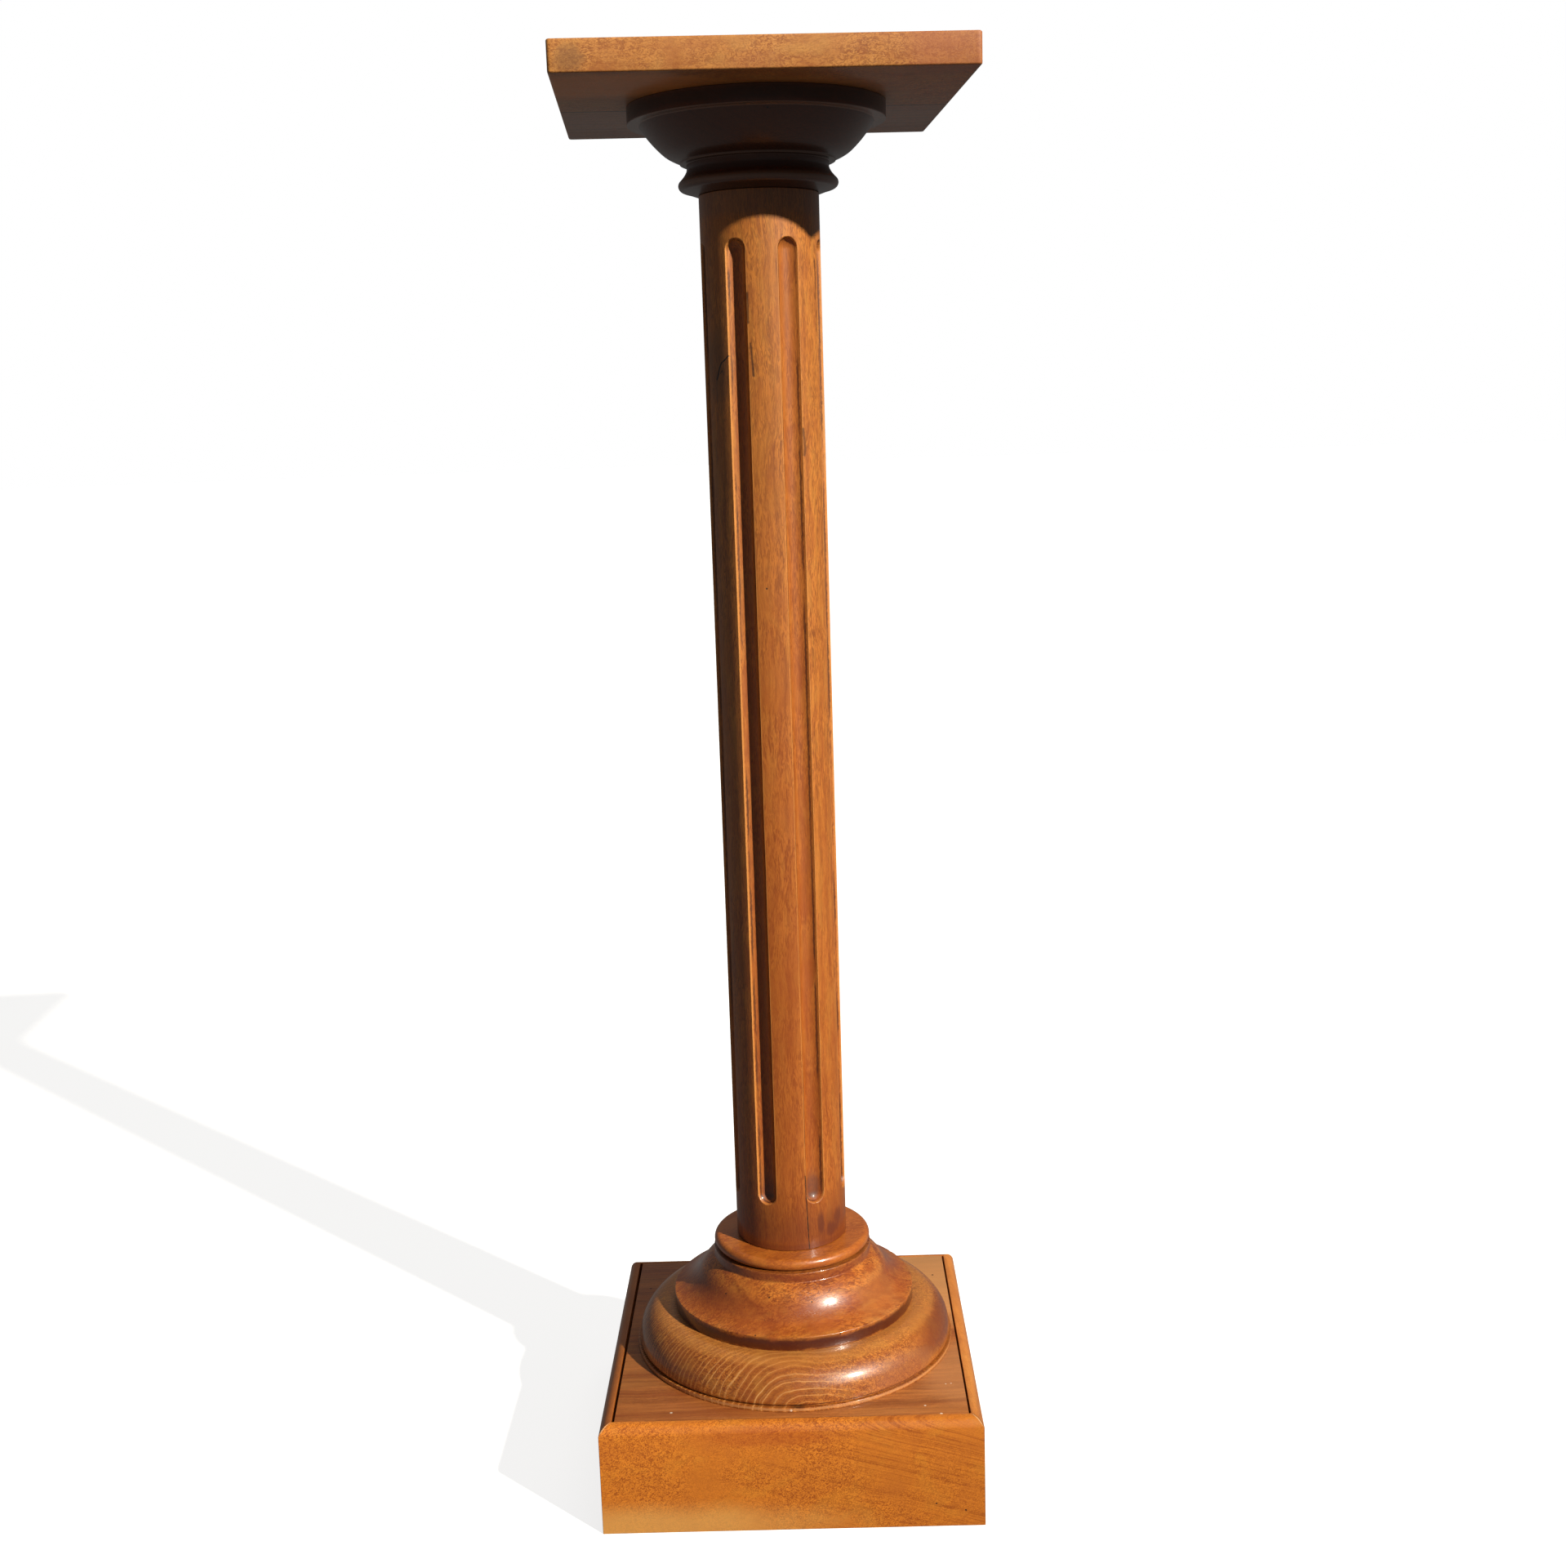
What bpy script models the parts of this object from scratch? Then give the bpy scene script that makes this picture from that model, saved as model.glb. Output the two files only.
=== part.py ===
"""Fluted column pedestal of varnished wood, for a bust, a vase or a plant.

A square top board of two glued boards lies on a turned capital.  Below it stand a
cylindrical shaft with stopped flutes, a turned base of two rings, and a hollow box
plinth of four mitred boards with a panel let in between them.

Metres, +Z up.  The column's axis is the Z axis, the front faces -Y, and the plinth's
boards rest on z = 0.  Pieces that touch keep JOINT_GAP between them.
"""
import math

import bmesh
import bpy
from mathutils import Matrix, Vector

# Clearances
JOINT_GAP = 0.0003           # between two pieces that bear on each other
PANEL_GAP_LEFT = 0.0020      # the panel has shrunk across its width
PANEL_GAP_RIGHT = 0.0014

# Plinth
PLINTH_WIDTH = 0.280         # square, outside of the boards
PLINTH_HEIGHT = 0.0844
PLINTH_CENTRE_X = -0.003     # the column stands a little to the right of its middle
BOARD_THICKNESS = 0.018
BOARD_EDGE = 0.009           # strip of each board that shows beside the panel
ROUND_OVER = 0.008           # radius of the boards' upper outer arris
PANEL_THICKNESS = 0.012

# Lower ring of the base: a bold round moulding on a thin foot
TORUS_RADIUS = 0.1226
TORUS_HEIGHT = 0.0323
TORUS_SWELL_WIDTH = 0.0249   # how far the round part runs in from its widest circle
TORUS_WIDEST = 0.0055        # height of that widest circle above the foot
FOOT_RADIUS = 0.1241
FOOT_HEIGHT = 0.0030
FOOT_RECESS = 0.0021         # how far the round part turns in above the foot

# Upper ring of the base: band, bell, fillet and bead
BELL_HEIGHT = 0.0553
BAND_RADIUS = 0.0939
BAND_HEIGHT = 0.0103
BELL_WAIST_RADIUS = 0.0736   # steepest circle of the bell
BELL_WAIST_RISE = 0.0149     # that circle above the band
BELL_SLOPES = (math.radians(33), math.radians(59), math.radians(16))   # top, waist, rim
BELL_STEPS = 4               # facets above and below the waist
FILLET_RADIUS = 0.0612
FILLET_HEIGHT = 0.0072
QUIRK_DEPTH = 0.0020         # groove between fillet and bead
QUIRK_HEIGHT = 0.0010
BEAD_RADIUS = 0.0608
BEAD_HALF_HEIGHT = 0.0044

# Shaft
SHAFT_RADIUS = 0.0427
SHAFT_LENGTH = 0.7810
FLUTE_COUNT = 7
FLUTE_FIRST_ANGLE = math.radians(27.3)   # first flute, to the right of the front
FLUTE_CUTTER_RADIUS = 0.0083
FLUTE_DEPTH = 0.0060
FLUTE_STOP_BELOW = 0.0364    # plain shaft left under the flutes
FLUTE_STOP_ABOVE = 0.0324    # plain shaft left over them

# Capital
CAPITAL_HEIGHT = 0.0597
ABACUS_RADIUS = 0.0911       # the thin disc under the top board
ABACUS_HEIGHT = 0.0118
ECHINUS_TOP_RADIUS = 0.0830
ECHINUS_BEND_RADIUS = 0.0675
ECHINUS_BEND_DROP = 0.0187   # the bend below the disc
ECHINUS_FOOT_RADIUS = 0.0552
ECHINUS_DROP = 0.0253        # the echinus's foot below the disc
ECHINUS_SLOPES = (math.radians(60), math.radians(42), math.radians(20))   # top, bend, foot
FLANK_STEPS = 4              # facets above the bend
BOWL_STEPS = 3               # facets below it
LIP_HEIGHT = 0.0014
NECK_RADIUS = 0.0504
ASTRAGAL_RADIUS = 0.0568
ASTRAGAL_HALF_HEIGHT = 0.0038
ASTRAGAL_CENTRE = 0.0067     # middle of its nose above the capital's foot
ASTRAGAL_FLARE = 0.0172      # where its upper flare leaves the neck, above the foot
FLARE_SLOPE = math.radians(75)   # of that flare at the neck
NOSE_SLOPE = math.radians(45)    # where the flare meets the nose
FLARE_STEPS = 3
CAPITAL_FOOT_RADIUS = 0.0446

# Top board
TOP_WIDTH = 0.2756           # square
TOP_THICKNESS = 0.0207
TOP_TURN = math.radians(4.0)  # it has been fixed a little askew, seen from above
TOP_SEAM_DEPTH = 0.1488      # front board's width, from the front edge to the glued seam
TOP_ARRIS = 0.0014           # worn outer edges

# Facets and angles
QUARTER = math.pi / 2
TURNED_SEGMENTS = 60
SHAFT_SEGMENTS = 84
CUTTER_SEGMENTS = 18
ARC_STEP = math.radians(18)
SHARP_EDGE = math.radians(30)

# Heights of the pieces' feet, from the ground up
TORUS_FOOT = PLINTH_HEIGHT + JOINT_GAP
BELL_FOOT = TORUS_FOOT + TORUS_HEIGHT + JOINT_GAP
SHAFT_FOOT = BELL_FOOT + BELL_HEIGHT + JOINT_GAP
CAPITAL_FOOT = SHAFT_FOOT + SHAFT_LENGTH + JOINT_GAP
TOP_FOOT = CAPITAL_FOOT + CAPITAL_HEIGHT + JOINT_GAP


def clear_scene():
    """Remove every object, so that the script can be run again in an open file."""
    for old in list(bpy.data.objects):
        bpy.data.objects.remove(old, do_unlink=True)


def wood(name, colour, roughness=0.32):
    """A varnished wood as a plain Principled BSDF, colour in linear RGB."""
    material = bpy.data.materials.new(name)
    material.use_nodes = True
    shader = material.node_tree.nodes["Principled BSDF"]
    shader.inputs["Base Color"].default_value = (*colour, 1.0)
    shader.inputs["Roughness"].default_value = roughness
    shader.inputs["Metallic"].default_value = 0.0
    material.diffuse_color = (*colour, 1.0)
    return material


def finish_object(name, bm, material, smooth=False):
    """Put a bmesh into a new object with its faces pointing out."""
    bmesh.ops.remove_doubles(bm, verts=bm.verts, dist=1e-6)
    bmesh.ops.recalc_face_normals(bm, faces=bm.faces)
    mesh = bpy.data.meshes.new(name)
    bm.to_mesh(mesh)
    bm.free()
    mesh.materials.append(material)
    if smooth:
        mesh.shade_smooth()
        mesh.set_sharp_from_angle(angle=SHARP_EDGE)
    item = bpy.data.objects.new(name, mesh)
    bpy.context.scene.collection.objects.link(item)
    return item


def arc(centre, radius_out, radius_up, start, end):
    """Points (radius, height) of an elliptic arc; angle 0 is outwards and 90 degrees is up."""
    steps = max(2, round(abs(end - start) / ARC_STEP))
    angles = [start + (end - start) * i / steps for i in range(steps + 1)]
    return [(centre[0] + radius_out * math.cos(a), centre[1] + radius_up * math.sin(a))
            for a in angles]


def sweep(start, end, start_slope, end_slope, steps):
    """Smooth curve of a moulding between two points, given its slope against the level there."""
    reach = math.dist(start, end)
    upward = 1.0 if end[1] > start[1] else -1.0
    outward = 1.0 if end[0] > start[0] else -1.0

    def tangent(slope):
        return (outward * reach * math.cos(slope), upward * reach * math.sin(slope))

    first, last = tangent(start_slope), tangent(end_slope)
    points = []
    for i in range(steps + 1):
        t = i / steps
        weights = (2 * t**3 - 3 * t**2 + 1, t**3 - 2 * t**2 + t, 3 * t**2 - 2 * t**3, t**3 - t**2)
        points.append(tuple(sum(w * p[k] for w, p in zip(weights, (start, first, end, last)))
                            for k in (0, 1)))
    return points


def turned(name, profile, foot, material, segments=TURNED_SEGMENTS):
    """Turn a profile of (radius, height above the foot) points, listed from top to bottom."""
    bm = bmesh.new()
    outline = [(0.0, profile[0][1]), *profile, (0.0, profile[-1][1])]
    points = [bm.verts.new((radius, 0.0, foot + height)) for radius, height in outline]
    edges = [bm.edges.new(pair) for pair in zip(points, points[1:])]
    bmesh.ops.spin(bm, geom=points + edges, cent=(0, 0, 0), axis=(0, 0, 1),
                   angle=2 * math.pi, steps=segments, use_merge=True, use_duplicate=False)
    bmesh.ops.remove_doubles(bm, verts=bm.verts, dist=1e-6)
    bmesh.ops.dissolve_degenerate(bm, edges=bm.edges, dist=1e-7)
    return finish_object(name, bm, material, smooth=True)


def plinth_board(name, turn, material):
    """One mitred board of the plinth; turn 0 is the front board, and the rest go round."""
    half = PLINTH_WIDTH / 2
    ledge = PLINTH_HEIGHT - PANEL_THICKNESS - JOINT_GAP
    steps = max(2, round(QUARTER / ARC_STEP))
    rounded = [(ROUND_OVER * (1 - math.cos(a)), PLINTH_HEIGHT - ROUND_OVER * (1 - math.sin(a)))
               for a in (QUARTER * i / steps for i in range(steps + 1))]
    section = [(0.0, 0.0), *rounded, (BOARD_EDGE, PLINTH_HEIGHT), (BOARD_EDGE, ledge),
               (BOARD_THICKNESS, ledge), (BOARD_THICKNESS, 0.0)]
    mitre_gap = JOINT_GAP / math.sqrt(2)
    bm = bmesh.new()
    left = [bm.verts.new((-(half - depth - mitre_gap), depth - half, height))
            for depth, height in section]
    end = bm.faces.new(left)
    swept = bmesh.ops.extrude_face_region(bm, geom=[end])
    for vertex in swept["geom"]:
        if isinstance(vertex, bmesh.types.BMVert):
            vertex.co.x = -vertex.co.x
    placed = Matrix.Translation((PLINTH_CENTRE_X, 0, 0)) @ Matrix.Rotation(turn, 4, "Z")
    bmesh.ops.transform(bm, matrix=placed, verts=bm.verts)
    return finish_object(name, bm, material, smooth=True)


def box(name, low, high, material, turn=0.0, arris=0.0, plain_side=None):
    """A board between two corners, turned about the column's axis.

    Its edges are rounded by arris, except those on the plane y = plain_side.
    """
    bm = bmesh.new()
    bmesh.ops.create_cube(bm, size=1.0)
    size = Vector(high) - Vector(low)
    bmesh.ops.scale(bm, vec=size, verts=bm.verts)
    bmesh.ops.translate(bm, vec=(Vector(low) + Vector(high)) / 2, verts=bm.verts)
    if arris:
        worn = [edge for edge in bm.edges
                if not all(abs(v.co.y - plain_side) < JOINT_GAP / 2 for v in edge.verts)]
        bmesh.ops.bevel(bm, geom=worn, offset=arris, offset_type="OFFSET", affect="EDGES",
                        segments=2, profile=0.5, material=-1)
    bmesh.ops.rotate(bm, cent=(0, 0, 0), matrix=Matrix.Rotation(turn, 3, "Z"), verts=bm.verts)
    return finish_object(name, bm, material)


def build_plinth(board_wood, panel_wood):
    """Four mitred boards, and the panel that lies on their rebates."""
    for name, quarter in (("plinth_front", 0), ("plinth_right", 1),
                          ("plinth_back", 2), ("plinth_left", 3)):
        plinth_board(name, quarter * QUARTER, board_wood[name])
    opening = PLINTH_WIDTH / 2 - BOARD_EDGE
    low = (PLINTH_CENTRE_X - opening + PANEL_GAP_LEFT, JOINT_GAP - opening,
           PLINTH_HEIGHT - PANEL_THICKNESS)
    high = (PLINTH_CENTRE_X + opening - PANEL_GAP_RIGHT, opening - JOINT_GAP, PLINTH_HEIGHT)
    box("plinth_panel", low, high, panel_wood)


def build_base(torus_wood, bell_wood):
    """The two turned rings between the plinth and the shaft."""
    swell_centre = (TORUS_RADIUS - TORUS_SWELL_WIDTH, TORUS_WIDEST)
    swell_rise = TORUS_HEIGHT - TORUS_WIDEST
    torus = [*arc(swell_centre, TORUS_SWELL_WIDTH, swell_rise, QUARTER, 0.0),
             (TORUS_RADIUS - FOOT_RECESS, FOOT_HEIGHT), (FOOT_RADIUS, FOOT_HEIGHT),
             (FOOT_RADIUS, 0.0)]
    turned("base_torus", torus, TORUS_FOOT, torus_wood)

    bead_centre = BELL_HEIGHT - BEAD_HALF_HEIGHT
    bead_foot = BELL_HEIGHT - 2 * BEAD_HALF_HEIGHT
    fillet_top = bead_foot - QUIRK_HEIGHT
    fillet_foot = fillet_top - FILLET_HEIGHT
    waist = (BELL_WAIST_RADIUS, BAND_HEIGHT + BELL_WAIST_RISE)
    bead = arc((BEAD_RADIUS - BEAD_HALF_HEIGHT, bead_centre), BEAD_HALF_HEIGHT,
               BEAD_HALF_HEIGHT, QUARTER, -QUARTER)
    at_top, at_waist, at_rim = BELL_SLOPES
    flank = sweep((FILLET_RADIUS, fillet_foot), waist, at_top, at_waist, BELL_STEPS)
    flare = sweep(waist, (BAND_RADIUS, BAND_HEIGHT), at_waist, at_rim, BELL_STEPS)
    bell = [*bead, (FILLET_RADIUS - QUIRK_DEPTH, bead_foot - QUIRK_HEIGHT / 2),
            (FILLET_RADIUS, fillet_top), *flank, *flare[1:], (BAND_RADIUS, 0.0)]
    turned("base_bell", bell, BELL_FOOT, bell_wood)


def flute_cutters(material):
    """One round-nosed rod for each flute, standing round the shaft, as one cutter object."""
    nose = FLUTE_CUTTER_RADIUS
    reach = math.sqrt(nose**2 - (nose - FLUTE_DEPTH)**2)   # the nose's cut along the surface
    low = SHAFT_FOOT + FLUTE_STOP_BELOW + reach
    high = SHAFT_FOOT + SHAFT_LENGTH - FLUTE_STOP_ABOVE - reach
    outline = [*arc((0.0, high), nose, nose, QUARTER, 0.0),
               *arc((0.0, low), nose, nose, 0.0, -QUARTER)]
    bm = bmesh.new()
    points = [bm.verts.new((radius, 0.0, height)) for radius, height in outline]
    edges = [bm.edges.new(pair) for pair in zip(points, points[1:])]
    bmesh.ops.spin(bm, geom=points + edges, cent=(0, 0, 0), axis=(0, 0, 1),
                   angle=2 * math.pi, steps=CUTTER_SEGMENTS, use_merge=True,
                   use_duplicate=False)
    bmesh.ops.remove_doubles(bm, verts=bm.verts, dist=1e-6)
    bmesh.ops.translate(bm, verts=bm.verts, vec=(0, FLUTE_DEPTH - nose - SHAFT_RADIUS, 0))
    bmesh.ops.rotate(bm, cent=(0, 0, 0), verts=bm.verts,
                     matrix=Matrix.Rotation(FLUTE_FIRST_ANGLE, 3, "Z"))
    first = bm.verts[:] + bm.edges[:] + bm.faces[:]
    for index in range(1, FLUTE_COUNT):
        copy = bmesh.ops.duplicate(bm, geom=first)["geom"]
        bmesh.ops.rotate(bm, cent=(0, 0, 0),
                         verts=[item for item in copy if isinstance(item, bmesh.types.BMVert)],
                         matrix=Matrix.Rotation(2 * math.pi * index / FLUTE_COUNT, 3, "Z"))
    cutters = finish_object("flute_cutters", bm, material)
    cutters.hide_render = True
    cutters.display_type = "WIRE"
    return cutters


def build_shaft(shaft_wood):
    """A cylinder cut by round-nosed flutes that stop short of both ends."""
    shaft = turned("shaft", [(SHAFT_RADIUS, SHAFT_LENGTH), (SHAFT_RADIUS, 0.0)], SHAFT_FOOT,
                   shaft_wood, SHAFT_SEGMENTS)
    flutes = shaft.modifiers.new("flutes", "BOOLEAN")
    flutes.operation = "DIFFERENCE"
    flutes.solver = "EXACT"
    flutes.object = flute_cutters(shaft_wood)


def build_capital(capital_wood):
    """Disc, echinus, neck and astragal, turned as one piece."""
    disc_foot = CAPITAL_HEIGHT - ABACUS_HEIGHT
    bend = (ECHINUS_BEND_RADIUS, disc_foot - ECHINUS_BEND_DROP)
    echinus_foot = (ECHINUS_FOOT_RADIUS, disc_foot - ECHINUS_DROP)
    at_top, at_bend, at_foot = ECHINUS_SLOPES
    flank = sweep((ECHINUS_TOP_RADIUS, disc_foot), bend, at_top, at_bend, FLANK_STEPS)
    bowl = sweep(bend, echinus_foot, at_bend, at_foot, BOWL_STEPS)
    flare_foot = ASTRAGAL_CENTRE + ASTRAGAL_HALF_HEIGHT * math.sin(NOSE_SLOPE)
    nose_width = ASTRAGAL_HALF_HEIGHT
    nose_centre = (ASTRAGAL_RADIUS - nose_width, ASTRAGAL_CENTRE)
    nose_top = (nose_centre[0] + nose_width * math.cos(NOSE_SLOPE), flare_foot)
    flare = sweep((NECK_RADIUS, ASTRAGAL_FLARE), nose_top, FLARE_SLOPE, NOSE_SLOPE, FLARE_STEPS)
    nose = arc(nose_centre, nose_width, ASTRAGAL_HALF_HEIGHT, NOSE_SLOPE, -QUARTER)
    profile = [(ABACUS_RADIUS, CAPITAL_HEIGHT), (ABACUS_RADIUS, disc_foot), *flank, *bowl[1:],
               (ECHINUS_FOOT_RADIUS, echinus_foot[1] - LIP_HEIGHT),
               (NECK_RADIUS, echinus_foot[1] - LIP_HEIGHT), *flare[:-1], *nose,
               (CAPITAL_FOOT_RADIUS, 0.0)]
    turned("capital", profile, CAPITAL_FOOT, capital_wood)


def build_top(front_wood, back_wood):
    """Two boards glued edge to edge, turned together by the angle they were fixed at."""
    half = TOP_WIDTH / 2
    seam = TOP_SEAM_DEPTH - half
    head = TOP_FOOT + TOP_THICKNESS
    box("top_board_front", (-half, -half, TOP_FOOT), (half, seam, head), front_wood,
        TOP_TURN, TOP_ARRIS, plain_side=seam)
    back = seam + JOINT_GAP
    box("top_board_back", (-half, back, TOP_FOOT), (half, half, head), back_wood,
        TOP_TURN, TOP_ARRIS, plain_side=back)


def main():
    """Build the pedestal from the ground up."""
    clear_scene()
    orange = (0.47, 0.17, 0.045)
    board_wood = {
        "plinth_front": wood("plinth_front_wood", orange, 0.38),
        "plinth_right": wood("plinth_right_wood", (0.44, 0.16, 0.045), 0.38),
        "plinth_back": wood("plinth_back_wood", (0.42, 0.15, 0.04), 0.38),
        "plinth_left": wood("plinth_left_wood", (0.42, 0.14, 0.04), 0.38),
    }
    build_plinth(board_wood, wood("plinth_panel_wood", (0.33, 0.13, 0.05), 0.30))
    build_base(wood("torus_wood", (0.40, 0.15, 0.04), 0.25),
               wood("bell_wood", (0.36, 0.11, 0.025), 0.22))
    build_shaft(wood("shaft_wood", (0.40, 0.14, 0.04), 0.30))
    build_capital(wood("capital_wood", (0.18, 0.06, 0.025), 0.30))
    build_top(wood("top_front_wood", orange, 0.45), wood("top_back_wood", (0.25, 0.10, 0.05), 0.45))


if __name__ == "__main__":
    main()
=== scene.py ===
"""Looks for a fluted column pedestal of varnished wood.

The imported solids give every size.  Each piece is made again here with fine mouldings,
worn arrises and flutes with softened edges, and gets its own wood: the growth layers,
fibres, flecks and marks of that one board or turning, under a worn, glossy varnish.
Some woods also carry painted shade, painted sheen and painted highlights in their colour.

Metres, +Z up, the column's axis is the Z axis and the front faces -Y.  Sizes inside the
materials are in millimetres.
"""
import logging
import math
from dataclasses import dataclass
from enum import Enum
from typing import Any, Callable, Dict, List, Optional, Sequence, Tuple, Union

import bmesh
import bpy
from mathutils import Matrix, Vector, noise

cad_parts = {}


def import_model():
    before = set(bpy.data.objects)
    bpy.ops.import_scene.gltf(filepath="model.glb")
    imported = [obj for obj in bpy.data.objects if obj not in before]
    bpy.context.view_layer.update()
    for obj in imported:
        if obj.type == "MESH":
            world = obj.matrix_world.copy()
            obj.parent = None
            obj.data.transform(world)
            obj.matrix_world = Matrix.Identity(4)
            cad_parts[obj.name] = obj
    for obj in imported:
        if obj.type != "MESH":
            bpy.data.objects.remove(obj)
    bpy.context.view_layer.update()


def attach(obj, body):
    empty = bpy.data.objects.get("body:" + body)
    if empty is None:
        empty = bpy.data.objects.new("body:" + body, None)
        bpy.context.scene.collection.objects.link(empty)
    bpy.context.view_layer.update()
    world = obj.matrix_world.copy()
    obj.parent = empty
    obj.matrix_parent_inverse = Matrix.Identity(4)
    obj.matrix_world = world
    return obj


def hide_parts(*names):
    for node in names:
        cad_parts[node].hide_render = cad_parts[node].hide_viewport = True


Point = Tuple[float, float]
Triple = Tuple[float, float, float]
Colour = Tuple[float, float, float]
Socket = bpy.types.NodeSocket
Material = bpy.types.Material
Item = bpy.types.Object
Mesh = bmesh.types.BMesh
Edge = bmesh.types.BMEdge

LOG = logging.getLogger("pedestal")
BODY = "root"
JOINT_GAP = 0.0003
MERGE = 1e-6
TURNED_SIDES = 256
TURNED_CORNER = 24.0
WORN_ARRIS = 0.0006

# Lumps per millimetre along the grain's X, Y and Z; Z runs along the fibres.
STREAKS = (0.35, 0.35, 0.012)
FIBRES = (2.6, 2.6, 0.16)
PORES = (3.4, 3.4, 0.42)
FLUTE_DIRT = (0.12, 0.12, 0.02)

WANDER = 9.0
LINE_COVER = 0.62
MARK_DEPTH = 3.0
RELIEF_HEIGHT = 0.0004


# Shader maths

def maths(operation: str, swapped: bool = False) -> Callable[..., "Signal"]:
    """Make a method of Signal that adds one Math node.

    Args:
        operation: The Math node's operation.
        swapped: Whether the signal is the last input, as in 1 - signal.

    Returns:
        The method; it takes the node's other inputs and gives the result.
    """
    def method(signal: "Signal", *others: Any) -> "Signal":
        """The Math node's result."""
        values = (*others, signal) if swapped else (signal, *others)
        node = signal.bench.node("ShaderNodeMath", {"operation": operation},
                                 dict(enumerate(values)))
        return Signal(signal.bench, node.outputs[0])
    return method


class Signal:
    """A number that runs through a node tree; arithmetic on it adds Math nodes."""

    __add__ = maths("ADD")
    __radd__ = maths("ADD", True)
    __sub__ = maths("SUBTRACT")
    __rsub__ = maths("SUBTRACT", True)
    __mul__ = maths("MULTIPLY")
    __rmul__ = maths("MULTIPLY", True)
    __truediv__ = maths("DIVIDE")
    __pow__ = maths("POWER")
    __abs__ = maths("ABSOLUTE")
    root = maths("SQRT")
    sine = maths("SINE")
    angle_over = maths("ARCTAN2")
    least = maths("MINIMUM")
    most = maths("MAXIMUM")
    wrap = maths("WRAP")

    def __init__(self, bench: "Bench", socket: Socket) -> None:
        """Wrap a float socket of a node tree."""
        self.bench = bench
        self.socket = socket

    def __neg__(self) -> "Signal":
        """-self."""
        return self * -1.0

    def step(self, low: float, high: float) -> "Signal":
        """Ease from 0 to 1.

        Args:
            low: Where it is still 0.
            high: Where it has become 1; less than low turns the ramp round.

        Returns:
            The eased ramp, between 0 and 1.
        """
        turned = low > high
        node = self.bench.node(
            "ShaderNodeMapRange", {"interpolation_type": "SMOOTHSTEP"},
            {"Value": self, "From Min": min(low, high), "From Max": max(low, high),
             "To Min": 1.0 if turned else 0.0, "To Max": 0.0 if turned else 1.0})
        return Signal(self.bench, node.outputs[0])


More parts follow.
